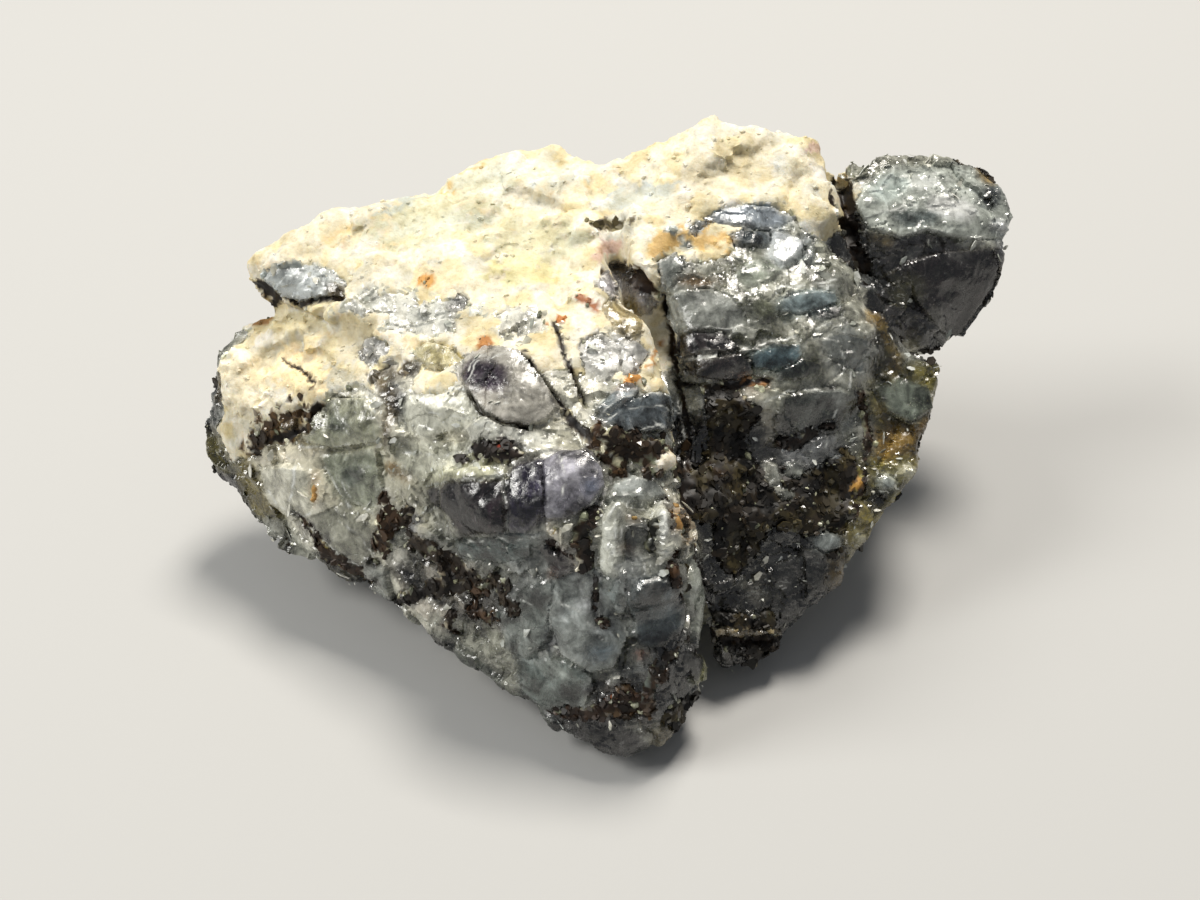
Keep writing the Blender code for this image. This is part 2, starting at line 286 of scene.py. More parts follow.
def from_line(pixels, line):
    """Each pixel's distance to a line of points; far from the line it is only given as large."""
    nearest = np.full(len(pixels), FAR)
    close = ((pixels > np.min(line, axis=0) - FAR) & (pixels < np.max(line, axis=0) + FAR)).all(1)
    pixels = pixels[close]
    for start, end in zip(line, line[1:]):
        start, along = np.array(start, float), np.array(end, float) - np.array(start, float)
        share = np.clip(((pixels - start) @ along) / (along @ along), 0, 1)
        aside = pixels - start - share[:, None] * along
        nearest[close] = np.minimum(nearest[close], np.hypot(aside[:, 0], aside[:, 1]))
    return nearest


def spot_reach(pixels, middle, halves, turn):
    """How far each pixel is from a spot's middle: 0 there, and 1 on its rim."""
    angle = math.radians(turn)
    across, down = pixels[:, 0] - middle[0], pixels[:, 1] - middle[1]
    along = (across * math.cos(angle) + down * math.sin(angle)) / halves[0]
    aside = (-across * math.sin(angle) + down * math.cos(angle)) / halves[1]
    return np.hypot(along, aside)


# The minerals, and the material slot that each one takes on the stone's body
# The hollow kind stands for open cracks and hollows: its near-black browns are painted shade, where light
# doesn't reach into them
CRUST, WHITE, GLASS, BLUE, PURPLE, MICA, OLIVE, OCHRE, SHADED_HOLLOW, PALE, SMOKY = range(11)
FELDSPAR_SLOT, CLOUDY_SLOT, MICA_SLOT = range(3)

# Each mineral: its slot, whether it is glassy, how milky it is, how much of its colour shows in the clear
# layer, how ragged the rims of its spots and seams are, how strongly it breaks into blocks, grains and
# crumbs in millimetres, and the colours that its grains come in
MINERALS = {
    CRUST: (FELDSPAR_SLOT, False, 1.0, 0.6, 0.9, 0.16, 0.09, 0.04,
        ("#E9E5D7", "#E3DDC8", "#EEEBE2", "#E2D8BA", "#E6E2D4", "#DADAD2", "#E4DBBC")),
    WHITE: (FELDSPAR_SLOT, False, 1.0, 0.6, 0.4, 0.20, 0.10, 0.04,
        ("#FBF5E6", "#F6ECD0", "#F4EAD0", "#FFFBF0")),
    GLASS: (CLOUDY_SLOT, True, 0.45, 0.7, 0.5, 0.14, 0.10, 0.04,
        ("#B0B298", "#BEBFA6", "#94967E", "#B6B698", "#C8C8B0", "#7C8068")),
    BLUE: (CLOUDY_SLOT, True, 0.35, 0.7, 0.5, 0.14, 0.10, 0.03,
        ("#7C857E", "#6A736E", "#8E968E", "#3A4442", "#969E92")),
    PURPLE: (CLOUDY_SLOT, True, 0.1, 0.9, 0.2, 0.12, 0.06, 0.02,
        ("#3E3438", "#30282B", "#483E48", "#362F2E")),
    MICA: (MICA_SLOT, False, 0.2, 0.8, 1.6, 0.22, 0.11, 0.05,
        ("#2E261A", "#1C1710", "#2A2216", "#4A4228", "#15120D", "#38321F")),
    OLIVE: (CLOUDY_SLOT, True, 0.4, 1.0, 0.8, 0.14, 0.10, 0.05,
        ("#847D46", "#92894A", "#646038", "#A29450", "#4A472E", "#746032")),
    OCHRE: (FELDSPAR_SLOT, False, 0.9, 0.9, 1.1, 0.12, 0.09, 0.05,
        ("#C2A068", "#B4905A", "#CDB078", "#A88658")),
    # Cracks and hollows, painted near black: painted shade
    SHADED_HOLLOW: (MICA_SLOT, False, 0.1, 0.9, 0.2, 0.10, 0.10, 0.05,
        ("#2C2014", "#1D150E", "#38290F")),
    PALE: (CLOUDY_SLOT, True, 1.05, 0.8, 1.0, 0.14, 0.10, 0.04,
        ("#E2DEC4", "#ECE8D2", "#D2CEB0", "#E6DEBC", "#F0EEE0", "#BCB89C")),
    SMOKY: (CLOUDY_SLOT, True, 0.15, 0.9, 0.8, 0.16, 0.14, 0.06,
        ("#3C3626", "#2A261C", "#4C4830", "#211E18", "#35332A")),
}
SLOT_OF, IS_GLASS, MILK, COAT_STRENGTH, RAGGED, BLOCK_STEP, GRAIN_STEP, CRUMB_STEP = (
    np.array(column) for column in list(zip(*MINERALS.values()))[:-1])
PALETTES = [colour_list(row[-1]) for row in MINERALS.values()]

# The dark ground below the layered crystals, as an outline in the photograph's pixels
MICA_GROUND = ((684, 385), (780, 385), (870, 420), (905, 500), (850, 570), (800, 650), (745, 690),
               (705, 680), (705, 600), (688, 540))

# The photograph's main regions from the lowest to the topmost: mineral, the share of its blocks, and its
# outline in the photograph's pixels
REGIONS = (
    (GLASS, 1.0, ((180, 380), (700, 380), (720, 800), (180, 800))),
    (PALE, 0.85, ((180, 380), (560, 330), (610, 440), (540, 470), (420, 490), (400, 560), (420, 620),
                  (180, 640))),
    (BLUE, 0.6, ((500, 560), (620, 560), (700, 600), (700, 690), (600, 720), (500, 700))),
    (SMOKY, 1.0, MICA_GROUND),
    (MICA, 0.62, MICA_GROUND),
    (GLASS, 1.0, ((660, 262), (720, 238), (815, 222), (850, 250), (905, 300), (900, 380), (860, 440),
                  (780, 440), (755, 385), (684, 400))),
    (OLIVE, 1.0, ((872, 300), (950, 335), (950, 410), (915, 510), (855, 575), (838, 545), (862, 480),
                  (858, 400))),
    (GLASS, 1.0, ((845, 140), (1030, 150), (1030, 250), (1000, 262), (930, 252), (880, 250), (850, 205))),
    (PURPLE, 1.0, ((866, 246), (930, 240), (1000, 250), (1030, 230), (1030, 300), (950, 395), (915, 330),
                   (870, 290))),
    (SMOKY, 0.6, ((850, 240), (900, 250), (940, 290), (950, 350), (900, 340), (860, 280))),
    (CRUST, 1.0, ((235, 258), (330, 205), (400, 195), (430, 172), (500, 142), (555, 127), (600, 150),
                  (650, 135), (720, 113), (852, 140), (860, 172), (832, 200), (800, 220), (760, 208),
                  (715, 202), (660, 228), (640, 262), (600, 262), (560, 292), (590, 330), (560, 352),
                  (500, 352), (455, 372), (420, 388), (385, 395), (345, 395), (318, 418), (262, 455),
                  (225, 440), (190, 398), (195, 345), (240, 318))),
    (OLIVE, 1.0, ((185, 405), (205, 440), (262, 470), (300, 520), (345, 560), (372, 590), (345, 600),
                  (255, 555), (205, 490))),
)

# The clear crystals: name, colour of the glass, colour of what lies under it, milkiness from 0 to 1,
# how far it stands proud in millimetres, and its outline in the photograph's pixels
CRYSTALS = (
    ("slab_lens", "#D2D8D8", "#C4CCCE", 1.0, 0.07,
     ((262, 274), (280, 265), (305, 263), (330, 268), (345, 279), (336, 292), (316, 300), (288, 301),
      (268, 292))),
    ("yellow_lens", "#EFE4AE", "#D6C27E", 0.6, 0.15,
     ((410, 352), (428, 341), (450, 346), (465, 359), (450, 368), (426, 366))),
    ("lens_crystal", "#D4D0C6", "#A09A92", 0.65, 0.18,
     ((455, 369), (467, 355), (492, 343), (520, 349), (543, 375), (559, 407), (547, 421), (524, 427),
      (500, 421), (480, 407), (465, 388))),
    ("eye_crystal", "#8E9AA2", "#2C363A", 0.25, 0.17,
     ((600, 416), (624, 403), (651, 391), (673, 395), (679, 414), (675, 430), (646, 433), (622, 429))),
    ("eye_wedge", "#AEBAC0", "#5F6B70", 0.5, 0.23,
     ((592, 411), (608, 396), (624, 382), (642, 387), (632, 400), (608, 414))),
    ("sparkling_grey_left", "#C0C0BA", "#8E8C86", 0.7, 0.1,
     ((580, 342), (600, 332), (622, 345), (620, 370), (600, 384), (585, 372))),
    ("sparkling_grey_right", "#CACAC6", "#8C8A84", 0.7, 0.12,
     ((606, 329), (634, 338), (650, 352), (640, 368), (624, 376), (620, 348))),
    ("violet_white", "#D0CCD0", "#9C9696", 0.75, 0.1,
     ((592, 286), (606, 272), (622, 276), (640, 292), (660, 305), (650, 316), (622, 300))),
    ("tan_block", "#D8C48C", "#A28C58", 0.6, 0.12,
     ((600, 304), (618, 297), (634, 299), (644, 320), (642, 334), (628, 340), (612, 324))),
    ("pale_front_left", "#F0F0E0", "#DCDCC6", 0.85, 0.05,
     ((392, 402), (420, 392), (462, 396), (484, 412), (460, 430), (424, 438), (398, 430))),
    ("pale_front_right", "#F4F4E8", "#E0E0CE", 0.85, 0.06,
     ((484, 414), (520, 428), (556, 430), (552, 446), (500, 452), (470, 440), (462, 430))),
    ("pale_front_low", "#EAEAD6", "#CECEB6", 0.75, 0.05,
     ((390, 436), (424, 440), (468, 442), (500, 456), (500, 466), (456, 474), (420, 486), (396, 470))),
    ("green_patch_upper", "#D4D6BC", "#A4A68A", 0.45, 0.17,
     ((298, 430), (332, 398), (365, 398), (378, 430), (374, 443), (332, 449), (306, 442))),
    ("green_patch_lower", "#C8CEB6", "#8C927C", 0.4, 0.15,
     ((320, 455), (374, 449), (382, 496), (372, 511), (343, 500), (328, 478))),
    ("left_chip", "#F0EEDC", "#C4C2A6", 0.7, 0.2,
     ((259, 468), (285, 464), (309, 470), (316, 496), (309, 518), (291, 522), (268, 503))),
    ("foot_glass", "#C8C8B6", "#8C8A78", 0.5, 0.12,
     ((308, 518), (346, 502), (372, 530), (367, 574), (337, 554), (313, 531))),
    ("pale_tip", "#CCD0C8", "#8A8F88", 0.5, 0.15,
     ((362, 558), (384, 568), (390, 602), (380, 609), (364, 596))),
    ("window_strip", "#E0E0C2", "#B6B494", 0.7, 0.2,
     ((420, 487), (430, 472), (470, 466), (508, 462), (508, 479), (470, 481), (430, 490))),
    ("purple_window", "#4A3A42", "#1E1418", 0.05, 0.17,
     ((424, 489), (448, 482), (504, 480), (504, 533), (461, 536), (449, 516), (431, 503))),
    ("violet_window", "#453C5E", "#171226", 0.05, 0.28,
     ((508, 481), (512, 466), (541, 457), (549, 487), (543, 516), (527, 534), (508, 534))),
    ("violet_round_end", "#BEBCC8", "#74727E", 0.35, 0.38,
     ((541, 460), (560, 449), (588, 449), (603, 468), (606, 488), (591, 508), (567, 520), (545, 520))),
    ("teal_strip", "#7E8E8C", "#27302F", 0.2, 0.07,
     ((454, 540), (490, 537), (529, 536), (531, 557), (500, 564), (458, 556))),
    ("dark_triangle", "#6A5E60", "#1F191A", 0.1, 0.1,
     ((539, 552), (548, 543), (570, 549), (575, 567), (576, 585), (559, 582))),
    ("arch_cap", "#C4CAC6", "#747C7A", 0.5, 0.3,
     ((606, 500), (614, 482), (632, 474), (656, 480), (668, 496), (650, 502), (630, 504))),
    ("arch_left", "#E8EADE", "#C4C6B6", 0.9, 0.38,
     ((600, 520), (612, 500), (626, 504), (624, 560), (612, 580), (598, 572))),
    ("arch_right", "#E8E8D8", "#C6C4AE", 0.9, 0.38,
     ((655, 502), (668, 498), (688, 518), (696, 556), (676, 566), (657, 556))),
    ("blue_between", "#AEBCBC", "#627070", 0.45, 0.1,
     ((584, 560), (604, 576), (622, 582), (616, 612), (600, 616), (588, 590))),
    ("cloudy_left", "#A6AEA8", "#4C544E", 0.35, 0.12,
     ((500, 616), (520, 590), (550, 580), (556, 612), (548, 640), (528, 660), (506, 650))),
    ("cloudy_main", "#BCC2BE", "#6A706A", 0.5, 0.2,
     ((554, 580), (586, 566), (612, 600), (628, 636), (615, 668), (590, 674), (560, 655), (548, 620))),
    ("cloudy_low", "#9CA8A2", "#46504C", 0.35, 0.12,
     ((520, 662), (556, 658), (592, 676), (594, 690), (582, 708), (552, 714), (522, 692))),
    ("dark_lobe", "#7C888C", "#20282A", 0.25, 0.3,
     ((626, 598), (639, 579), (660, 576), (682, 590), (689, 612), (680, 635), (657, 650), (637, 644),
      (632, 620))),
    ("right_ridge", "#C2C8BE", "#82887C", 0.55, 0.17,
     ((690, 556), (700, 562), (709, 600), (709, 650), (699, 650), (690, 600))),
    ("olive_chip", "#B4B48C", "#7C7A50", 0.5, 0.2,
     ((689, 656), (706, 653), (709, 680), (694, 685))),
    ("plate_left", "#7C8478", "#23271F", 0.2, 0.12,
     ((448, 644), (476, 656), (504, 688), (504, 714), (476, 690))),
    ("plate_right", "#848C80", "#2A2F28", 0.2, 0.12,
     ((504, 690), (524, 698), (554, 718), (562, 738), (540, 738), (506, 716))),
    ("grey_lens", "#AEB8C2", "#7C8890", 0.8, 0.12,
     ((704, 217), (724, 208), (748, 204), (774, 207), (792, 217), (790, 225), (770, 230), (730, 224),
      (710, 224))),
    ("dark_bar", "#76828A", "#2A3236", 0.2, 0.1,
     ((725, 237), (738, 230), (770, 231), (770, 247), (748, 245), (729, 241))),
    # Painted highlight and shade: the glint crystal's near-white face is its glint painted in, and its side
    # is the same crystal painted darker as shade
    ("glint_crystal_painted_highlight", "#F0F6FA", "#B4C2C8", 0.6, 0.3,
     ((772, 228), (800, 237), (806, 245), (798, 260), (782, 271), (768, 257), (770, 244))),
    ("glint_side_painted_shade", "#A6B0B2", "#4C5456", 0.3, 0.2,
     ((802, 230), (815, 241), (814, 259), (800, 266), (806, 248))),
    ("grey_under_glint", "#B8C0B0", "#6E7668", 0.45, 0.17,
     ((733, 274), (747, 260), (768, 257), (784, 272), (768, 283), (745, 288))),
    ("left_grey", "#A8AEA8", "#555A54", 0.35, 0.15,
     ((656, 262), (678, 249), (686, 266), (680, 280), (668, 293))),
    ("light_grey_crystal", "#C0C4BE", "#80847E", 0.55, 0.23,
     ((668, 298), (680, 290), (709, 288), (732, 296), (745, 310), (742, 323), (732, 331), (701, 333),
      (677, 336), (667, 322))),
    ("olive_lens", "#8C9078", "#444632", 0.25, 0.1,
     ((745, 298), (759, 296), (776, 306), (779, 314), (765, 324), (754, 316))),
    ("teal_lens", "#A6B8BC", "#56686C", 0.4, 0.17,
     ((776, 304), (787, 295), (808, 290), (834, 291), (839, 301), (824, 308), (801, 316), (781, 313))),
    # Painted shade: the underside below the teal lens is painted dark
    ("underside_painted_shade", "#5E6664", "#1C2220", 0.15, 0.05,
     ((803, 314), (839, 304), (842, 316), (818, 323))),
    ("upper_window", "#54484A", "#181214", 0.02, 0.12,
     ((676, 336), (700, 331), (727, 334), (741, 347), (726, 351), (701, 354), (683, 359), (677, 354))),
    ("lower_window", "#5A4E4E", "#1C1616", 0.05, 0.12,
     ((680, 363), (712, 357), (741, 353), (751, 364), (754, 374), (738, 381), (716, 380), (690, 376))),
    ("teal_window", "#7E9AA4", "#34484E", 0.25, 0.12,
     ((749, 356), (773, 343), (801, 344), (803, 355), (793, 365), (775, 371), (755, 368))),
    ("green_window", "#505A52", "#161C18", 0.1, 0.07,
     ((777, 372), (803, 359), (822, 364), (819, 374), (793, 380), (778, 380))),
    ("streaked_glass", "#868C86", "#333835", 0.3, 0.17,
     ((784, 398), (806, 390), (840, 388), (862, 398), (860, 420), (836, 434), (800, 432), (784, 416))),
    ("pale_grain_left", "#CFD2C8", "#8E9188", 0.6, 0.2, ((768, 462), (779, 464), (782, 484), (770, 487))),
    ("pale_grain_right", "#C8CCC2", "#888C82", 0.6, 0.2, ((786, 464), (796, 460), (806, 466), (802, 478),
                                                          (788, 477))),
    ("pale_grain_low", "#C2C6BC", "#80847A", 0.5, 0.2, ((777, 489), (788, 488), (796, 497), (784, 502))),
    ("low_right_grain", "#B8C0BE", "#6E7674", 0.5, 0.2,
     ((810, 534), (826, 530), (842, 536), (842, 548), (824, 554), (811, 546))),
    ("right_grain", "#C4CCC8", "#7C8480", 0.5, 0.2, ((874, 480), (886, 473), (898, 480), (894, 490),
                                                     (880, 491))),
    ("green_right", "#98A294", "#535B4F", 0.35, 0.15,
     ((878, 388), (902, 376), (930, 388), (934, 408), (912, 424), (886, 412))),
    ("knob_cap", "#C4CAC2", "#AEB4AC", 0.8, 0.2,
     ((853, 204), (866, 184), (889, 164), (930, 163), (970, 164), (1000, 186), (1014, 217), (1003, 240),
      (960, 240), (925, 232), (900, 240), (868, 230))),
    ("knob_dark", "#463A3C", "#181214", 0.05, 0.1,
     ((904, 264), (940, 252), (1002, 248), (1010, 262), (1000, 300), (966, 344), (938, 330), (916, 300))),
)

# Spots of colour: name, mineral, middle, half width and height, turn in degrees, colour, and how far they
# stand proud in millimetres
SPOTS = (
    # Painted shade: the hollow under the slab is painted near black
    ("hollow under the slab", SHADED_HOLLOW, (258, 296), (22, 14), 25, "#1E150D", -0.5),
    ("rust under the slab", OCHRE, (258, 315), (12, 7), 10, "#9C7544", 0.0),
    ("brown facet of the slab", OLIVE, (334, 290), (10, 8), 0, "#7E6A40", 0.1),
    ("yellow block", CRUST, (306, 324), (28, 15), -8, "#E0D8BA", 0.35),
    ("white chunk", WHITE, (240, 382), (30, 32), 20, "#FFFAEC", 0.4),
    ("cream block", WHITE, (300, 372), (30, 24), 30, "#F8EBCB", 0.25),
    ("brown oval", OLIVE, (214, 392), (8, 16), 0, "#7A6A3C", 0.0),
    ("grey grains by the chunk", GLASS, (372, 350), (14, 15), 30, "#9A978C", 0.1),
    ("brown grains under the lens", OLIVE, (388, 374), (24, 9), -12, "#6E6450", 0.0),
    ("dark grains under the lens", MICA, (396, 378), (10, 5), -12, "#4A4234", 0.0),
    ("dark crystal down the seam", BLUE, (394, 400), (9, 24), -4, "#4C5254", 0.0),
    ("grey glass in the crust", PALE, (430, 315), (40, 17), -8, "#DADBD0", 0.0),
    ("dark grey grains", GLASS, (458, 304), (12, 9), 0, "#6F6E66", 0.0),
    ("green tint", CRUST, (522, 268), (34, 18), 0, "#E6E4BE", 0.0),
    ("ochre back band", CRUST, (455, 175), (46, 12), -27, "#DCC698", 0.0),
    ("ochre cells left", CRUST, (664, 244), (20, 9), -28, "#DEBE84", 0.05),
    ("ochre cells right", CRUST, (705, 236), (26, 12), 4, "#E0C28A", 0.05),
    ("pale cell upper", CRUST, (716, 229), (8, 4), 0, "#EDE6CC", 0.05),
    ("pale cell lower", CRUST, (676, 250), (7, 3), 0, "#EDE6CC", 0.05),
    ("pale cell right", CRUST, (722, 243), (6, 4), 0, "#E6DEC4", 0.05),
    ("grey cell left", GLASS, (672, 233), (7, 4), 0, "#A5AAA6", 0.12),
    ("grey cell middle", GLASS, (697, 226), (9, 6), 0, "#B0B4B4", 0.12),
    ("grey cell right", GLASS, (690, 243), (7, 4), -10, "#9DA2A0", 0.12),
    ("orange grain left", OCHRE, (424, 281), (8, 5), 0, "#C79756", 0.0),
    ("rust spot by the lens", OCHRE, (486, 340), (11, 6), -30, "#B57F48", 0.1),
    ("rust spot by the crack", OCHRE, (544, 326), (5, 8), 0, "#C17F44", 0.0),
    ("rust spot between cracks", OCHRE, (559, 322), (4, 8), 20, "#BC7941", 0.0),
    ("red stain", OCHRE, (588, 303), (12, 4), 38, "#A36C4A", 0.0),
    ("rust streak", OCHRE, (631, 379), (13, 5), -42, "#C38D4A", 0.2),
    ("rust streak above", OCHRE, (657, 351), (4, 13), 22, "#B9884F", 0.0),
    ("pink tint", CRUST, (608, 247), (14, 7), -30, "#D8BEB4", 0.0),
    ("dark speck", MICA, (612, 223), (18, 4), 4, "#7E7654", -0.1),
    ("blue grey smear", CRUST, (400, 205), (26, 7), -18, "#C2CACA", 0.0),
    ("blue grey smear right", CRUST, (640, 193), (34, 9), -10, "#CCD2D0", 0.0),
    ("grey green of the plateau", CRUST, (430, 222), (62, 20), -10, "#D6D8C6", 0.0),
    ("grey green of the plateau, middle", CRUST, (540, 236), (44, 18), 0, "#DADAC4", 0.0),
    ("grey white of the plateau, back", CRUST, (500, 176), (46, 13), -12, "#DDE0D4", 0.0),
    ("grey white in the plateau", CRUST, (560, 175), (30, 14), -10, "#DFE3DE", 0.0),
    ("white glass above the slab", PALE, (380, 300), (30, 10), -10, "#DCDCCE", 0.0),
    ("white glass by the cracks", PALE, (520, 320), (26, 16), 10, "#E2E0D2", 0.0),
    # Painted shade: the notch is painted near black
    ("hollow notch", SHADED_HOLLOW, (640, 283), (22, 9), 42, "#2E1E12", -0.5),
    ("hollow notch top", OLIVE, (622, 268), (14, 4), 6, "#5E4A28", -0.3),
    ("brown spot under the cells", OLIVE, (695, 282), (12, 5), 4, "#7A5C28", -0.1),
    ("lens purple", PURPLE, (486, 376), (23, 15), 8, "#544258", 0.0),
    ("mica over the window", MICA, (496, 450), (28, 9), -10, "#2E241E", 0.1),
    ("mica patch left", MICA, (275, 430), (36, 13), -27, "#6A5436", -0.2),
    ("dark mica patch left", MICA, (256, 440), (12, 8), -27, "#3A2C1A", -0.2),
    ("gold grain left", OLIVE, (290, 424), (9, 5), -27, "#A48A58", 0.0),
    ("smoky ground front", SMOKY, (446, 590), (60, 30), 24, "#4E4634", 0.0),
    ("mica patch front", MICA, (452, 582), (30, 12), 16, "#33281C", 0.0),
    ("mica patch front low", MICA, (436, 612), (30, 10), 26, "#3A2C1E", 0.0),
    ("dark grain by the window", BLUE, (413, 528), (9, 14), 10, "#3A3C40", 0.0),
    ("pale crumbs", PALE, (418, 606), (26, 14), 30, "#C2B8A2", 0.1),
    ("pale grain front", PALE, (432, 572), (10, 7), 20, "#C8C0AC", 0.15),
    ("pale grain front right", PALE, (470, 566), (8, 5), 20, "#B4AC9A", 0.15),
    ("pale grain front low", PALE, (462, 606), (10, 6), 30, "#A89E8A", 0.1),
    ("pale grain front left", PALE, (398, 560), (8, 9), 0, "#CCC8B8", 0.1),
    ("pale grain by the seam", PALE, (420, 540), (6, 8), 0, "#B8B0A0", 0.1),
    ("tan ledge", CRUST, (556, 536), (14, 6), 40, "#D8C69C", 0.3),
    ("brown under the ledge", MICA, (584, 540), (10, 26), -12, "#4C3A26", 0.0),
    ("mica band", MICA, (645, 452), (46, 18), 10, "#463726", 0.0),
    ("brown over the left eye", MICA, (610, 436), (14, 8), -20, "#3A2C1E", 0.0),
    ("white grain in the band", WHITE, (662, 463), (12, 11), 0, "#F2EEE6", 0.45),
    ("arch inside", GLASS, (632, 530), (13, 24), 0, "#74776A", 0.0),
    # Painted shade: the arch's hollow is painted near black
    ("arch hollow", SHADED_HOLLOW, (652, 536), (7, 22), 4, "#23261C", -0.25),
    ("arch brown", OLIVE, (628, 546), (7, 8), 0, "#5A3A18", 0.0),
    ("arch top rust", OCHRE, (632, 514), (6, 5), -40, "#9C7F4A", 0.0),
    ("arch rust", OCHRE, (680, 520), (6, 16), -8, "#B18A50", 0.3),
    # Painted glints: these light spots in the cloudy crystal stand in for its glints
    ("cloud spark", PALE, (584, 604), (10, 6), 20, "#E4E8E8", 0.0),
    ("cloud spark left", PALE, (566, 612), (5, 8), 0, "#C8D0D0", 0.0),
    ("cloud spark low", PALE, (604, 630), (8, 5), -20, "#D4DADC", 0.0),
    ("cloud spark lowest", PALE, (560, 672), (12, 4), 30, "#C0C8C2", 0.0),
    ("dark pocket", BLUE, (552, 640), (9, 13), 0, "#2E3638", 0.0),
    ("dark pocket upper", BLUE, (538, 598), (10, 11), 0, "#343A3A", 0.0),
    ("dark pocket low", SMOKY, (570, 694), (14, 7), 30, "#3A3E3A", 0.0),
    ("blue cloud", GLASS, (600, 652), (13, 9), 0, "#8C9AA2", 0.0),
    ("violet cloud", PURPLE, (590, 690), (8, 5), 0, "#4A4450", 0.0),
    # Painted glints: these light spots on the layered crystals stand in for their glints
    ("layered spark", PALE, (702, 304), (9, 3), 0, "#E4E6E2", 0.0),
    ("layered spark right", PALE, (816, 334), (9, 3), -20, "#D0D4D2", 0.0),
    ("layered spark low", PALE, (838, 398), (5, 8), 20, "#B4B8B4", 0.0),
    ("green cloud", GLASS, (338, 424), (12, 10), 0, "#8E9484", 0.0),
    ("green cloud low", GLASS, (352, 476), (12, 12), 0, "#7E857A", 0.0),
    # Painted glint: a light spot on the violet round end
    ("round end spark", PALE, (572, 470), (6, 8), 20, "#DEDCE8", 0.0),
    ("round end blue", BLUE, (590, 486), (7, 9), 0, "#7E88A0", 0.0),
    ("black corner", SMOKY, (674, 668), (24, 42), 20, "#1A1916", 0.0),
    ("smoky tip", SMOKY, (625, 706), (44, 26), -14, "#4A3E2C", 0.05),
    ("crumbly tip", MICA, (632, 704), (24, 13), -14, "#5E4C38", 0.05),
    ("purple brown nose", PURPLE, (600, 738), (52, 20), 16, "#2A2022", 0.0),
    ("pale tip of the nose", OLIVE, (662, 735), (11, 9), -10, "#9A8E6A", 0.3),
    ("grey speckle right", GLASS, (812, 450), (30, 18), -14, "#7B7F80", 0.1),
    ("tan shelf", OLIVE, (742, 632), (34, 4), 0, "#9A8A68", 0.2),
    ("orange grain right", OCHRE, (858, 480), (5, 6), 0, "#B98E47", 0.25),
    ("olive grain low", OLIVE, (850, 557), (9, 10), 0, "#7E7648", 0.1),
    ("ochre right upper", OLIVE, (877, 320), (9, 7), 0, "#C8A450", 0.05),
    ("ochre right rim", OLIVE, (888, 445), (9, 14), 20, "#B8964C", 0.05),
    ("pale grain right edge", PALE, (905, 470), (8, 6), 0, "#BEBCA0", 0.1),
    ("dark grain right edge", SMOKY, (880, 500), (12, 9), 0, "#3E3A2A", 0.0),
    ("pale grain right low", PALE, (862, 540), (7, 6), 0, "#A8A684", 0.1),
    ("yellow right rim", OLIVE, (876, 408), (6, 22), -16, "#A8A068", 0.1),
    ("green grey right", GLASS, (850, 350), (26, 22), 30, "#8A928A", 0.1),
    ("knob cloud left", PALE, (888, 190), (20, 13), -20, "#D2DED8", 0.0),
    ("knob cloud middle", PALE, (926, 184), (14, 8), -10, "#E4E8E4", 0.0),
    ("knob cloud", PALE, (952, 208), (26, 12), 12, "#E8EAE8", 0.0),
    ("knob grey", BLUE, (915, 218), (26, 9), 0, "#7C8684", 0.0),
    ("knob grey right", BLUE, (990, 196), (10, 12), 0, "#6E7678", 0.0),
    # Partly painted glints: pale grains along the knob cap's lower rim, made light so that they also stand
    # in for its glints
    ("knob grain and glint right", PALE, (998, 226), (8, 6), 0, "#E6E8EA", 0.15),
    ("knob grain and glint low", PALE, (976, 240), (8, 4), 0, "#CACCCC", 0.12),
    ("knob grain and glint lower", PALE, (1002, 246), (5, 7), 0, "#B4B4B6", 0.1),
    ("knob grain and glint left", PALE, (938, 244), (9, 3), 0, "#A8A8A2", 0.1),
    ("knob fringe", GLASS, (958, 256), (14, 6), 12, "#6E6C6A", 0.0),
    ("knob fringe right", GLASS, (1000, 260), (8, 10), 0, "#868488", 0.0),
    ("knob fringe left", GLASS, (915, 254), (14, 6), 0, "#5A5850", 0.0),
    ("knob ochre rim", OLIVE, (880, 240), (18, 5), 20, "#8C7C54", 0.0),
    # Painted shade: the gap beside the knob is painted near black
    ("knob gap", SHADED_HOLLOW, (846, 212), (9, 40), -12, "#2A2016", -0.3),
    # Painted glint: a pure white speck beside the knob gap
    ("white spark", WHITE, (836, 209), (4, 4), 0, "#FFFFFF", 0.3),
    ("pink back edge", CRUST, (830, 150), (26, 6), 6, "#DCC6C0", 0.0),
    ("ochre knob corner", OLIVE, (986, 176), (6, 11), -30, "#B49A60", 0.0),
    ("olive under the gap", OLIVE, (905, 290), (22, 20), 30, "#55523A", 0.0),
    ("speckles under the knob", GLASS, (940, 328), (8, 26), -20, "#6C6A62", 0.1),
    # Painted glints: tiny bright orange and red spots that stand in for coloured glints of light, tagged as
    # rust
    ("orange spark low", OCHRE, (611, 699), (3, 3), 0, "#FF8A4A", 0.2),
    ("red spark", OCHRE, (640, 656), (2, 4), 0, "#FF5A2C", 0.2),
    ("orange spark middle", OCHRE, (552, 573), (2, 2), 0, "#E8904A", 0.2),
    ("red spark upper", OCHRE, (504, 446), (2, 2), 0, "#E05030", 0.2),
    ("brown knob rim", OLIVE, (1006, 290), (10, 36), 20, "#5A4A38", 0.0),
)

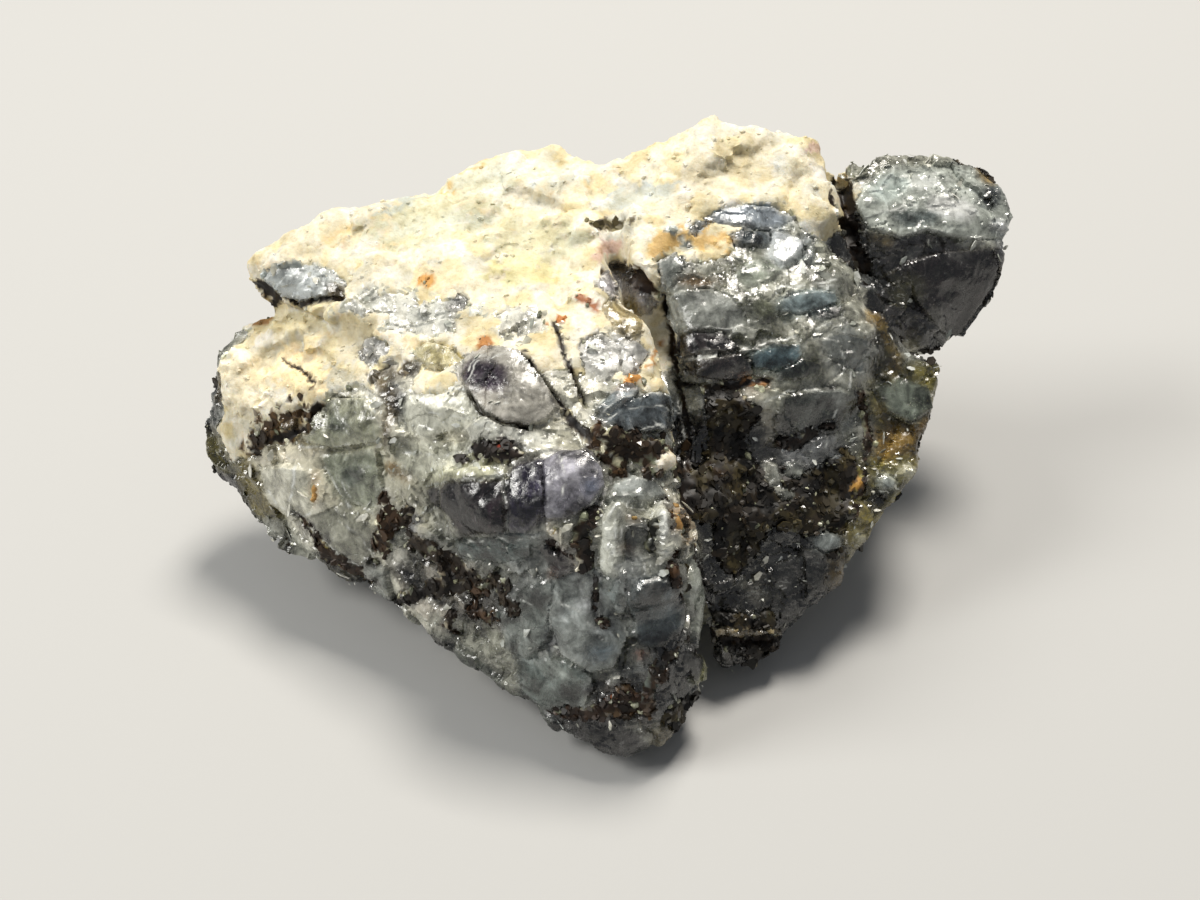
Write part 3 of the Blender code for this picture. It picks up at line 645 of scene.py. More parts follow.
# Open cracks as lines of the photograph's pixels: line, half width in pixels, depth in millimetres. They are
# painted near black, as painted shade inside the cracks
CRACKS = (
    (((524, 350), (540, 372), (556, 396), (572, 422)), 2.0, 0.5),
    (((554, 322), (566, 352), (576, 382), (585, 402)), 2.2, 0.5),
    (((566, 414), (578, 430), (588, 436)), 5.0, 0.5),
    (((466, 392), (482, 410), (504, 423), (530, 428)), 2.2, 0.6),
    (((284, 361), (296, 369), (308, 376), (318, 386)), 1.8, 0.35),
    (((262, 300), (300, 304), (344, 298)), 3.0, 0.7),
    (((318, 404), (304, 424), (284, 436), (262, 446)), 2.6, 0.5),
    (((664, 296), (670, 330), (678, 380), (684, 420), (690, 480), (694, 540), (706, 590),
     (711, 650)), 2.8, 0.5),
    (((838, 170), (840, 200), (850, 235), (872, 275)), 5.0, 0.6),
    (((676, 384), (720, 386), (770, 380)), 2.6, 0.4),
    (((712, 640), (750, 642), (786, 638)), 3.0, 0.6),
)

# Crumbly seams between the crystals as lines of the photograph's pixels: mineral, colour, half width
# and line
SEAMS = (
    (OLIVE, "#86785C", 6.0, ((376, 372), (388, 400), (386, 440))),
    (OLIVE, "#9A7C48", 6.0, ((384, 468), (402, 476), (428, 478))),
    (MICA, "#4E3A26", 7.0, ((380, 498), (390, 520), (384, 545), (372, 560))),
    (MICA, "#3E3428", 7.0, ((404, 512), (414, 540), (432, 552), (454, 566), (474, 580), (500, 590),
                            (512, 610))),
    (MICA, "#2A221A", 7.0, ((392, 604), (425, 592), (470, 578))),
    (MICA, "#54402E", 5.0, ((474, 592), (470, 618), (498, 620))),
    (MICA, "#33241A", 4.0, ((545, 545), (574, 560), (584, 585), (592, 605), (606, 624))),
    (MICA, "#2C2018", 5.0, ((592, 508), (586, 540), (590, 570), (598, 604))),
    (MICA, "#4A3420", 4.5, ((668, 500), (671, 540), (676, 580), (682, 602))),
    (MICA, "#3C2A1C", 7.0, ((560, 712), (590, 716), (612, 706), (640, 700), (662, 672))),
    (MICA, "#4A3A2C", 6.0, ((296, 516), (326, 548), (352, 568), (372, 584))),
    (MICA, "#2E241C", 5.0, ((772, 442), (800, 442), (832, 424))),
    (PALE, "#A39A80", 5.0, ((745, 385), (758, 400), (766, 420), (776, 440))),
    (OLIVE, "#7A5C30", 4.0, ((684, 282), (706, 284), (722, 278))),
    (OCHRE, "#A37A52", 3.0, ((742, 374), (756, 386), (770, 380))),
    (PALE, "#EAE2CC", 2.2, ((540, 524), (556, 541), (572, 551), (583, 574), (588, 600))),
    (PALE, "#D8CFB4", 4.0, ((668, 488), (684, 504), (690, 530), (695, 560), (702, 592))),
    (OCHRE, "#BB9256", 3.0, ((318, 470), (312, 486), (314, 504))),
    (OLIVE, "#8A7A44", 5.0, ((296, 436), (312, 446), (330, 452))),
    (PALE, "#D4CBB0", 4.0, ((262, 462), (300, 456), (330, 452), (372, 450))),
    (MICA, "#4A3A2A", 3.5, ((860, 392), (872, 430), (866, 470), (858, 520))),
    (MICA, "#3A3026", 4.0, ((690, 640), (676, 656), (660, 664), (650, 690))),
    (PALE, "#DDE0D2", 3.6, ((613, 556), (610, 518), (619, 499), (640, 490), (656, 498), (663, 516),
                            (665, 556))),
    (PALE, "#C8C8B4", 3.6, ((674, 498), (687, 516), (695, 545), (700, 580), (706, 624))),
    (PALE, "#C8C4B0", 4.5, ((770, 460), (766, 478), (778, 492))),
    (MICA, "#5A4228", 4.0, ((600, 420), (590, 440), (602, 456), (620, 470))),
    (OLIVE, "#A08A4C", 5.0, ((884, 330), (900, 352), (896, 382), (882, 410))),
    (OLIVE, "#B8964C", 5.0, ((930, 420), (916, 436), (900, 446), (884, 452))),
)

# Pale healed veins as lines of the photograph's pixels: line, half width in pixels
VEINS = (
    (((336, 403), (342, 415), (354, 430)), 1.2),
    (((330, 404), (345, 396), (365, 396), (376, 412)), 1.6),
    (((326, 466), (336, 484), (350, 506)), 1.8),
    (((268, 490), (284, 508), (300, 518), (311, 514)), 2.4),
    (((293, 468), (295, 484), (292, 500)), 2.2),
    (((310, 528), (330, 545), (350, 562), (366, 576)), 1.8),
    (((338, 520), (360, 535), (372, 558)), 1.6),
    (((300, 446), (336, 446), (374, 442)), 1.4),
    (((612, 545), (610, 515), (620, 498), (640, 490), (656, 498), (662, 515), (665, 560)), 3.6),
    (((622, 540), (622, 516), (632, 506)), 1.6),
    (((752, 292), (790, 285), (840, 284)), 1.8),
    (((768, 280), (800, 271), (820, 273)), 1.6),
    (((820, 332), (845, 323)), 2.0),
    (((838, 344), (850, 368), (852, 388)), 2.0),
    (((760, 402), (800, 389), (832, 392)), 1.8),
    (((826, 448), (832, 424), (838, 404)), 2.6),
    (((702, 642), (706, 600), (700, 562)), 2.0),
    (((636, 588), (655, 579), (676, 586), (690, 602)), 1.6),
    (((560, 456), (567, 478), (561, 502)), 1.8),
    (((580, 452), (598, 466), (602, 490), (590, 506)), 2.2),
    (((470, 372), (480, 357), (505, 351), (528, 362), (546, 386)), 1.4),
    (((558, 600), (580, 612), (604, 640)), 1.4),
    (((520, 600), (548, 612), (552, 650)), 1.2),
    (((486, 690), (510, 704), (536, 724), (556, 738)), 2.0),
    (((508, 702), (540, 716), (560, 722)), 1.4),
    (((610, 570), (628, 562), (660, 566)), 1.8),
    (((650, 420), (668, 430), (680, 446)), 1.6),
    (((676, 396), (682, 420), (684, 440)), 2.0),
    (((398, 396), (430, 386), (462, 388)), 1.6),
    (((400, 452), (440, 456), (500, 446), (556, 452)), 2.2),
    (((430, 412), (470, 420), (500, 436)), 1.6),
    (((872, 190), (900, 178), (940, 172)), 1.8),
    (((880, 214), (920, 204), (970, 214)), 1.8),
    (((679, 361), (713, 354), (742, 349)), 2.6),
    (((743, 347), (775, 339), (800, 332), (845, 319)), 2.2),
    (((764, 292), (800, 284), (840, 279)), 2.4),
    (((696, 326), (724, 330), (742, 324)), 1.6),
    (((600, 414), (620, 400), (645, 392), (668, 394)), 2.0),
    (((606, 418), (630, 408), (655, 406), (678, 414)), 1.6),
    (((640, 430), (660, 424), (676, 428)), 1.6),
    (((426, 486), (460, 480), (505, 476), (540, 460)), 2.0),
    (((503, 482), (505, 505), (505, 530)), 2.2),
    (((458, 543), (490, 540), (528, 541)), 1.4),
    (((466, 384), (480, 362), (505, 354), (534, 366)), 1.4),
    (((617, 560), (618, 520), (630, 500)), 2.4),
    (((661, 560), (661, 520), (655, 504)), 2.4),
    (((332, 402), (345, 425), (352, 440)), 1.0),
    (((340, 478), (356, 500), (372, 515)), 1.2),
)




# The stone's skin and what it is made of


class Seeds:
    """Scattered points, each with a tilt and random numbers of its own."""

    def __init__(self, places, seed):
        random = np.random.default_rng(seed)
        self.places = places
        self.tilts = random.normal(size=places.shape)
        self.tilts /= np.linalg.norm(self.tilts, axis=1)[:, None]
        self.draws = random.random((len(places), 4))
        self.tree = kdtree.KDTree(len(places))
        for index, place in enumerate(places):
            self.tree.insert(place, index)
        self.tree.balance()

    def near(self, places, count=1):
        """The nearest seeds of each place and their distances."""
        found = [self.tree.find_n(place, count) for place in places]
        seeds = np.array([[item[1] for item in group] for group in found])
        gaps = np.array([[item[2] for item in group] for group in found])
        return seeds, gaps

    def facets(self, places, seeds):
        """How high each place lies on the lowest of its nearest seeds' tilted faces."""
        heights = [((places - self.places[column]) * self.tilts[column]).sum(1) for column in seeds.T]
        return np.min(heights, axis=0)


def grid_seeds(size, seed):
    """Seeds that fill the stone's box, about that size apart."""
    random = np.random.default_rng(seed)
    low, high = np.array(cad_box[0]) / MM - 1, np.array(cad_box[1]) / MM + 1
    steps = [np.arange(start, end, size) for start, end in zip(low, high)]
    grid = np.stack(np.meshgrid(*steps, indexing="ij"), -1).reshape(-1, 3)
    return Seeds(grid + (random.random(grid.shape) - 0.5) * size * GRID_JITTER, seed + 100)


class Skin:
    """The stone's broad skin: its points and faces, and what the camera sees of it."""

    def __init__(self, piece):
        self.points = mesh_points(piece)
        polished = new_piece("polished_skin", piece.data.copy())
        apply_modifier(polished, "SMOOTH", factor=0.5, iterations=POLISHING)
        self.polished = mesh_points(polished)
        bpy.data.objects.remove(polished)
        self.normals = mesh_normals(piece)
        self.faces = mesh_corners(piece).reshape(-1, 4)
        sides = np.stack((self.faces, np.roll(self.faces, -1, axis=1)), axis=-1).reshape(-1, 2)
        self.edges, edge_of = np.unique(np.sort(sides, axis=1), axis=0, return_inverse=True)
        self.face_edges = edge_of.reshape(-1, 4)
        self.tree = BVHTree.FromPolygons(self.points.tolist(), self.faces.tolist())
        self.seen = self.seen_by_camera()
        self.pixels = to_photo(self.points)

    def seen_by_camera(self):
        """Which points of the skin the camera sees."""
        rays = self.points - CAMERA_SPOT
        lengths = np.linalg.norm(rays, axis=1)
        rays /= lengths[:, None]
        seen = (self.normals * rays).sum(1) < FACING
        start = Vector(CAMERA_SPOT)
        for index in np.flatnonzero(seen):
            hit = self.tree.ray_cast(start, rays[index])
            if hit[0] is not None and hit[3] < lengths[index] - HIDDEN_BY:
                seen[index] = False
        return seen

    def under(self, places):
        """The nearest place of the skin to each place, and the face that it lies on."""
        found = [self.tree.find_nearest(place) for place in places]
        return np.array([item[0] for item in found]), np.array([item[2] for item in found])

    def on_faces(self, values, faces):
        """The mean of the values at the corners of these faces."""
        return values[self.faces[faces]].mean(1)

    def sees(self, faces):
        """Which of these faces the camera sees."""
        return self.on_faces(self.seen, faces) > 0.5

    def blur(self, values, times):
        """Values of the skin's points, evened out with those of their neighbours."""
        start, end = self.edges.T
        count = len(self.points)
        neighbours = np.bincount(self.edges.ravel(), minlength=count)
        even = values.astype(float).reshape(count, -1)
        for _ in range(times):
            sums = [np.bincount(start, column[end], count) + np.bincount(end, column[start], count)
                    for column in even.T]
            even = (even + np.stack(sums, axis=1) / neighbours[:, None]) / 2
        return even.reshape(values.shape)


def spread(skin, spacing, seed):
    """Points spread over the skin, no two closer than the spacing."""
    order = np.random.default_rng(seed).permutation(len(skin.points))[::SPREAD_STEP]
    tree = kdtree.KDTree(len(order))
    for index in order:
        tree.insert(skin.points[index], index)
    tree.balance()
    crowded = np.zeros(len(skin.points), bool)
    kept = []
    for index in order:
        if not crowded[index]:
            kept.append(index)
            crowded[[other for _, other, _ in tree.find_range(skin.points[index], spacing)]] = True
    return np.array(kept)


# The mixture where the photograph shows nothing: minerals, and the draw below which each one is taken
MIXTURE = ((MICA, 0.1), (OLIVE, 0.2), (BLUE, 0.36), (PURPLE, 0.46), (PALE, 0.6), (SMOKY, 0.72))
FOOT_HEIGHT, FOOT_DRAW = 2.5, 0.8           # near the floor more of it is mica
CRUST_FACING, CRUST_SWING = 0.25, 0.5       # the crust lies on what faces up
CRUST_HEIGHT, CRUST_END = 12.5, 15          # in the upper part of the stone, but not on the knob
TOP_HEIGHT, TOP_END = 14.2, 13.5            # and over the rim of the top


def regions_at(places, normals, pixels, seen, draws):
    """The mineral of each block: what the photograph shows there, or a mixture where it shows nothing."""
    kind = np.select([draws < below for _, below in MIXTURE], [mineral for mineral, _ in MIXTURE], GLASS)
    across, height = places[:, 0], places[:, 2]
    kind[(height < FOOT_HEIGHT) & (draws > FOOT_DRAW)] = MICA
    upward = normals[:, 2] + CRUST_SWING * (draws - 0.5)
    kind[(upward > CRUST_FACING) & (height > CRUST_HEIGHT) & (across < CRUST_END)] = CRUST
    kind[(height > TOP_HEIGHT) & (across < TOP_END)] = CRUST
    for mineral, share, outline in REGIONS:
        kind[in_outline(pixels, outline) & seen & (draws < share)] = mineral
    return kind


def grain_colours(ground, draws):
    """Each place's colour: the one that it was told, or else one of its mineral's, by a draw from 0 to 1."""
    colours = np.zeros((len(ground.kind), 3))
    for mineral, palette in enumerate(PALETTES):
        mine = ground.kind == mineral
        colours[mine] = palette[(draws[mine] * len(palette)).astype(int)]
    colours[ground.told] = ground.tint[ground.told]
    return colours


class Stone:
    """What the stone is made of at each place of its skin."""

    def __init__(self, skin):
        self.skin = skin
        self.block_spots = spread(skin, BLOCK_SIZE, SEED)
        spots = self.block_spots
        self.blocks = Seeds(skin.points[spots], SEED + 1)
        self.block_kind = regions_at(self.blocks.places, skin.normals[spots], skin.pixels[spots],
                                     skin.seen[spots], self.blocks.draws[:, 0])
        self.grains = grid_seeds(GRAIN_SIZE, SEED + 2)
        self.crumbs = grid_seeds(CRUMB_SIZE, SEED + 3)
        on_skin = self.minerals(skin.points, on_skin=True)
        self.block_of = on_skin.block
        self.layers = skin.blur(np.column_stack(self.glass_on_skin(on_skin)), LAYER_BLUR)

    def minerals(self, places, on_skin=False):
        """What each place is made of: its mineral, colour, height and vein, and its block and skin face."""
        skin = self.skin
        if on_skin:
            under, faces, seen = places, None, skin.seen
        else:
            under, faces = skin.under(places)
            seen = skin.sees(faces)
        stray = np.column_stack([noise_at(under, WANDER_SIZE, shift=shift) for shift in NOISE_SHIFTS])
        blocks, gaps = self.blocks.near(under + BLOCK_STRAY * stray, 2)
        kind = self.block_kind[blocks[:, 0]].copy()
        unseen_glass = ~seen & IS_GLASS[self.block_kind[blocks]].all(1)
        to_border = gaps[:, 1] - gaps[:, 0]
        in_seam = to_border / (MICA_SEAM + stray[:, 2]).clip(LEAST_SEAM) + SEAM_STRAY * stray[:, 0] < 1
        kind[unseen_glass & in_seam] = MICA
        veined = unseen_glass & (stray[:, 1] > VEIN_START)
        vein = np.where(veined, np.clip(1 - to_border / BLOCK_VEIN, 0, 1), 0.0)
        ground = SimpleNamespace(
            kind=kind, vein=vein, height=np.zeros(len(places)), block=blocks[:, 0], faces=faces,
            told=np.zeros(len(places), bool), tint=np.full((len(places), 3), -1.0))
        seen = np.flatnonzero(seen)
        self.draw_photo(ground, seen, under[seen], stray[seen, :2])
        return ground

    def draw_photo(self, ground, seen, under, stray):
        """Give the places that the camera sees the photograph's crystals, spots, seams, cracks and veins."""
        pixels = to_photo(under)
        speck = noise_at(under, SPECK_SIZE, 2)

        def lay(inside, mineral, colour=None):
            chosen = seen[inside]
            ground.kind[chosen] = mineral
            ground.told[chosen] = colour is not None
            if colour:
                ground.tint[chosen] = linear(colour)[:3]
            return chosen

        for _, _, bed, _, _, outline in CRYSTALS:
            lay(in_outline(pixels + stray * CRYSTAL_STRAY, outline), GLASS, bed)
        for _, mineral, middle, halves, turn, colour, rise in SPOTS:
            reach = spot_reach(pixels + stray * SPOT_STRAY, middle, halves, turn) + RAGGED[mineral] * speck
            inside = reach < 1
            chosen = lay(inside, mineral, colour)
            ground.height[chosen] = rise * np.clip((1 - reach[inside]) * SPOT_SLOPE, 0, 1)
        for mineral, colour, half_width, line in SEAMS:
            reach = from_line(pixels + stray * SPOT_STRAY, line) / half_width + RAGGED[mineral] * speck
            lay(reach < 1, mineral, colour)
        for line, half_width, depth in CRACKS:
            gap = from_line(pixels + stray * CRACK_STRAY, line)
            inside = gap < half_width
            # Open cracks are painted near black: painted shade inside them
            chosen = lay(inside, SHADED_HOLLOW)
            ground.height[chosen] = -depth * np.clip(LINE_EDGE - gap[inside] / half_width, 0, 1)
        bends = [noise_at(under, VEIN_BEND, shift=shift) for shift in NOISE_SHIFTS[:2]]
        bent = pixels + VEIN_STRAY * np.column_stack(bends)
        lines = np.zeros(len(seen))
        for line, half_width in VEINS:
            gap = from_line(bent, line) / (THIN_VEIN * half_width)
            lines = np.maximum(lines, np.clip(LINE_EDGE - gap, 0, 1))
        swing = VEIN_SWING * noise_at(under, VEIN_GAP, shift=NOISE_SHIFTS[2])
        ground.vein[seen] = lines * np.clip(VEIN_LEVEL + swing, 0, 1)

    def glass_on_skin(self, ground):
        """At each point of the skin: how much of it is glass, how milky that is, and its colour."""
        skin, kind = self.skin, ground.kind
        draws = self.blocks.draws[ground.block]
        milk = MILK[kind] + MILK_SPREAD * (draws[:, 1] - 0.5)
        colours = 1 - (1 - grain_colours(ground, draws[:, 2])) * COAT_STRENGTH[kind][:, None]
        in_crystal = np.zeros(len(kind), bool)
        for _, glass, _, milky, _, outline in CRYSTALS:
            inside = in_outline(skin.pixels, outline) & skin.seen & IS_GLASS[kind]
            colours[inside] = linear(glass)[:3]
            milk[inside] = milky
            in_crystal |= inside
        for _, mineral, middle, halves, turn, colour, _ in SPOTS:
            inside = in_crystal & (spot_reach(skin.pixels, middle, halves, turn) < 1)
            colours[inside] = linear(colour)[:3]
            milk[inside] = MILK[mineral]
        return IS_GLASS[kind].astype(float), milk, colours

    def seat(self, faces):
        """How deep the rock lies under the clear layer there, as a share of the full depth."""
        share, milk = self.skin.on_faces(self.layers[:, :2], faces).T
        return ease((share - SEAT_RIM) / SEAT_SHARE) * (1 - MILKY_SEAT * milk.clip(0, 1))


def free_of_rest(points):
    """How freely each point may move: not at all on the flat spot that the stone rests on."""
    return np.clip((points[:, 2] - REST_SPOT) / REST_FREE, 0, 1)


def broad_shape():
    """The stone's broad shape: the frame's solid, fused and smoothed."""
    shape = new_piece("stone_body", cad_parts["alexandrite_crystal"].data.copy())
    shape.data.materials.clear()
    take(shape)
    bpy.ops.object.mode_set(mode="EDIT")
    bpy.ops.mesh.select_all(action="SELECT")
    bpy.ops.mesh.remove_doubles(threshold=1e-6)
    bpy.ops.object.mode_set(mode="OBJECT")
    apply_modifier(shape, "REMESH", mode="VOXEL", voxel_size=BROAD_VOXEL * MM)
    apply_modifier(shape, "SMOOTH", factor=0.5, iterations=BROAD_SMOOTHING)
    return shape


def break_skin(body, stone):
    """Break the broad shape into blocks, then into grains and crumbs."""
    points = mesh_points(body)
    ground = stone.minerals(points)
    seeds = stone.blocks.near(points, 3)[0]
    steps = stone.blocks.facets(points, seeds) + stone.blocks.draws[seeds[:, 0], 1]
    lift = ground.height - SEAT_DEPTH * stone.seat(ground.faces) + BLOCK_STEP[ground.kind] * steps
    move_points(body, points + mesh_normals(body) * (lift * free_of_rest(points))[:, None])
    apply_modifier(body, "REMESH", mode="VOXEL", voxel_size=SKIN_VOXEL * MM)
    points = mesh_points(body)
    kind = stone.minerals(points).kind
    seeds = stone.grains.near(points, 3)[0]
    lift = GRAIN_STEP[kind] * (stone.grains.facets(points, seeds) + stone.grains.draws[seeds[:, 0], 0])
    seeds, gaps = stone.crumbs.near(points, 2)
    edge = np.clip((gaps[:, 1] - gaps[:, 0]) / (CRUMB_EDGE * CRUMB_SIZE), 0, 1)
    lift += CRUMB_STEP[kind] * (stone.crumbs.draws[seeds[:, 0], 0] - 0.5 + CRUMB_SWELL * edge)
    move_points(body, points + mesh_normals(body) * (lift * free_of_rest(points))[:, None])
    apply_modifier(body, "DECIMATE", ratio=SKIN_TRIANGLES / (2 * len(body.data.polygons)))


def paint_body(body, stone):
    """Store each point's colour and vein, and give each face its mineral's material."""
    points = mesh_points(body)
    ground = stone.minerals(points)
    draws = stone.grains.draws[stone.grains.near(points)[0][:, 0]]
    colours = grain_colours(ground, draws[:, 1])
    shade = DARKEST + GRAIN_SHADE * draws[:, 2] + BLOCK_SHADE * stone.blocks.draws[ground.block, 2]
    colours *= shade[:, None]
    mesh = body.data
    store(mesh, "tint", colours)
    store(mesh, "vein", ground.vein)
    first = np.empty(len(mesh.polygons), np.int64)
    mesh.polygons.foreach_get("loop_start", first)
    slots = SLOT_OF[ground.kind[mesh_corners(body)[first]]]
    mesh.polygons.foreach_set("material_index", slots.astype(np.int32))
    return ground, colours


# The clear crystals


def whole_corners(skin, chosen):
    """The chosen faces with those added that keep two corners from touching at a single point."""
    chosen = chosen.copy()
    for _ in range(RIM_ROUNDS):
        uses = np.bincount(skin.face_edges[chosen].ravel(), minlength=len(skin.edges))
        rims = np.bincount(skin.edges[uses == 1].ravel(), minlength=len(skin.points))
        touching = (rims > 2)[skin.faces].any(1) & ~chosen
        if not touching.any():
            break
        chosen |= touching
    return chosen


def crown(points, outward, from_rim, rise, random):
    """How far each point of a crystal's face stands proud: three leaning planes and a broken edge."""
    middle = points.mean(0)
    height = np.full(len(points), rise)
    for _ in range(CROWN_PLANES):
        lean = random.normal(size=3)
        lean -= outward * (lean @ outward)
        slope = LEAST_LEAN + (MOST_LEAN - LEAST_LEAN) * random.random()
        plane = rise + slope * ((points - middle) @ lean / np.linalg.norm(lean) + FACE_MIDDLE)
        height = np.minimum(height, plane)
    return np.clip(np.minimum(height, from_rim * EDGE_SLOPE + EDGE_START), LOWEST_FACE, None)


def glass_heights(stone, points, normals, ground):
    """How far the clear layer's broken faces stand out of the smoothed skin."""
    skin = stone.skin
    seeds = stone.blocks.near(points, 3)[0]
    lift = BLOCK_RELIEF * (stone.blocks.facets(points, seeds) + stone.blocks.draws[seeds[:, 0], 1])
    fine = np.where(ground.kind == SMOKY, ROUGH_RELIEF, GRAIN_RELIEF)
    seen = skin.sees(ground.faces)
    pixels = to_photo(points)
    for index, (_, _, _, milk, rise, outline) in enumerate(CRYSTALS):
        inside = in_outline(pixels, outline) & seen
        if inside.sum() > FEWEST_POINTS:
            outward = normals[inside].mean(0)
            from_rim = from_line(pixels[inside], outline + outline[:1]) / PIXELS_PER_MM
            random = np.random.default_rng(SEED + 10 * index)
            lift[inside] = crown(points[inside], outward / np.linalg.norm(outward), from_rim, rise, random)
            if milk < MILKY_FACE:
                fine[inside] = FACE_RELIEF
    seeds = stone.grains.near(points, 3)[0]
    lift += fine * (stone.grains.facets(points, seeds) + stone.grains.draws[seeds[:, 0], 0] - 0.5)
    lift += RIPPLE_HEIGHT * noise_at(points, RIPPLE_SIZE, 3)
    share, milk = skin.on_faces(stone.layers[:, :2], ground.faces).T
    drop = RIM_DROP * (1 - MILKY_SEAT * milk.clip(0, 1))
    return lift + ground.height - drop * (1 - ease((share - GLASS_RIM) / RIM_SHARE))


def clear_layer(name, stone, wanted, material):
    """A part of the clear crystals, grown together: broken faces on top, and their body in the rock."""
    skin = stone.skin
    used, quads = np.unique(skin.faces[whole_corners(skin, wanted)], return_inverse=True)
    sheet = new_piece(name, new_mesh(name, skin.polished[used], quads.reshape(-1, 4).tolist()))
    apply_modifier(sheet, "SUBSURF", levels=1, render_levels=1)
    points, normals, quads = mesh_points(sheet), mesh_normals(sheet), mesh_corners(sheet).reshape(-1, 4)
    bpy.data.objects.remove(sheet)
    ground = stone.minerals(points)
    top = points + normals * glass_heights(stone, points, normals, ground)[:, None]
    bottom = points - normals * GLASS_DEPTH
    count = len(points)
    start, end = quads.ravel(), np.roll(quads, -1, axis=1).ravel()
    open_sides = ~np.isin(start * count + end, end * count + start)
    start, end = start[open_sides], end[open_sides]
    walls = np.column_stack((end, start, start + count, end + count))
    faces = np.vstack((quads, quads[:, ::-1] + count, walls)).tolist()
    mesh = new_mesh(name, np.vstack((top, bottom)), faces)
    layers = skin.on_faces(stone.layers, ground.faces)
    for attribute, values in (("tint", layers[:, 2:5]), ("vein", ground.vein), ("milk", layers[:, 1])):
        store(mesh, attribute, np.concatenate((values, values)))
    piece = new_piece(name, mesh)
    piece.data.materials.append(material)
    take(piece)
    bpy.ops.object.shade_smooth_by_angle(angle=GLASS_SHARP)
    carry(piece)


def clear_layers(stone, material):
    """The clear layer in pieces: left and right of the main fissure, and out of the photograph's sight."""
    skin = stone.skin
    glassy = ((stone.layers[:, 0] > GLASS_RIM) & (skin.points[:, 2] > LOWEST_GLASS))[skin.faces].all(1)
    near = (skin.blur(skin.seen, SEEN_BLUR) > SEEN_SHARE)[stone.block_spots]
    places = stone.blocks.places
    right = places[:, 0] > FISSURE_ACROSS + FISSURE_LEAN * (FISSURE_HEIGHT - places[:, 2])
    block = stone.block_of[skin.faces[:, 0]]
    across = places[block, 0]
    for group, names in ((near & ~right, ("left_crystals", "front_crystals")),
                         (near & right, ("layered_crystals",)),
                         (~near, ("back_left_crystals", "back_crystals", "back_right_crystals"))):
        wanted = glassy & group[block]
        borders = np.quantile(across[wanted], np.linspace(0, 1, len(names) + 1))
        borders[-1] += 1
        for name, low, high in zip(names, borders, borders[1:]):
            clear_layer(name, stone, wanted & (across >= low) & (across < high), material)


# Flakes, chips and grains: how many, the least size of each kind and how much more the largest has, in
# millimetres

MICA_FLAKES, FLAKE_SIZES = 7000, (0.2, 0.5)
CRUST_GRAINS, GRAIN_SIZES = 1600, (0.15, 0.3)
CRUMBS, CRUMB_SIZES = 3000, (0.12, 0.35)
HEALED_CRACKS, CRACK_SIZES = 2600, (0.12, 0.7)
FLAKE_RADIUS, FLAKE_THICKNESS = 0.5, 0.16
CHIP_RADIUS, CHIP_CUTS, CHIP_CUT_AT = 0.5, 4, 0.28
LOOSE_HEIGHT = 0.9          # nothing loose lies lower
GRAIN_SUNK = 0.09           # how deep the crust's grains sit in it
CRACK_DEPTH = 0.3           # the least height of a healed crack over the rock, and how much more it may be
CRACK_SHAPE = (1.3, 0.6, 0.3)
FLAKY_SMOKE = 0.4           # share of the smoky skin that bears flakes
RIM_CRUMBS = 0.6            # crumbs lie where less of the skin than this is glass
INSIDE_GLASS = 0.8          # and healed cracks where more of it is
FLAKE_TILT, FLAKE_SCATTER = 0.5, 0.25       # how far flakes lean with their block, and by chance
CRACK_SCATTER = 0.5
PALE_CRUMBS = 0.25          # share of the crumbs that are pale
CRUMB_LIGHT = 1.5           # how much lighter the others are than the rock below


def shape_arrays():
    """The active object's points in millimetres and its faces; the object itself is removed."""
    shape = bpy.context.object
    points = mesh_points(shape)
    faces = [list(face.vertices) for face in shape.data.polygons]
    bpy.data.objects.remove(shape)
    return points, faces


def flake_shape():
    """A small sheet of mica: a thin plate with six sides and one corner broken off."""
    bpy.ops.mesh.primitive_cylinder_add(vertices=6, radius=FLAKE_RADIUS * MM, depth=FLAKE_THICKNESS * MM)
    bpy.ops.object.mode_set(mode="EDIT")
    bpy.ops.mesh.bisect(plane_co=(0.3 * MM, 0.16 * MM, 0), plane_no=(0.8, 0.5, 0.3), use_fill=True,
                        clear_outer=True)
    bpy.ops.object.mode_set(mode="OBJECT")
    return shape_arrays()


def chip_shape(seed):
    """A broken chip: a small ball cut to flat faces on all sides."""
    random = np.random.default_rng(seed)
    bpy.ops.mesh.primitive_ico_sphere_add(subdivisions=1, radius=CHIP_RADIUS * MM)
    bpy.ops.object.mode_set(mode="EDIT")
    for _ in range(CHIP_CUTS):
        direction = random.normal(size=3)
        direction /= np.linalg.norm(direction)
        bpy.ops.mesh.select_all(action="SELECT")
        bpy.ops.mesh.bisect(plane_co=direction * CHIP_CUT_AT * MM, plane_no=direction, use_fill=True,
                            clear_outer=True)
    bpy.ops.object.mode_set(mode="OBJECT")
    return shape_arrays()


def frames_along(directions, random):
    """An axis frame for each direction, turned at random about it."""
    upright = directions / np.linalg.norm(directions, axis=1)[:, None]
    sideways = np.cross(upright, random.normal(size=upright.shape))
    sideways /= np.linalg.norm(sideways, axis=1)[:, None]
    return np.stack((sideways, np.cross(upright, sideways), upright), axis=1)


def scatter(name, shapes, places, directions, sizes, colours, material, random):
    """Copies of a few shapes as one mesh: each at its place, along its direction, in its size and colour."""
    frames = frames_along(directions, random)
    points, faces, tints = [], [], []
    start = 0
    for index, (place, axes, size) in enumerate(zip(places, frames, sizes)):
        corners, sides = shapes[index % len(shapes)]
        points.append(place + (corners * size) @ axes)
        faces += [[corner + start for corner in side] for side in sides]
        tints.append(np.repeat(colours[index][None], len(corners), axis=0))
        start += len(corners)
    mesh = new_mesh(name, np.vstack(points), faces)
    store(mesh, "tint", np.vstack(tints))
    store(mesh, "vein", np.zeros(start))
    mesh.materials.append(material)
    carry(new_piece(name, mesh))


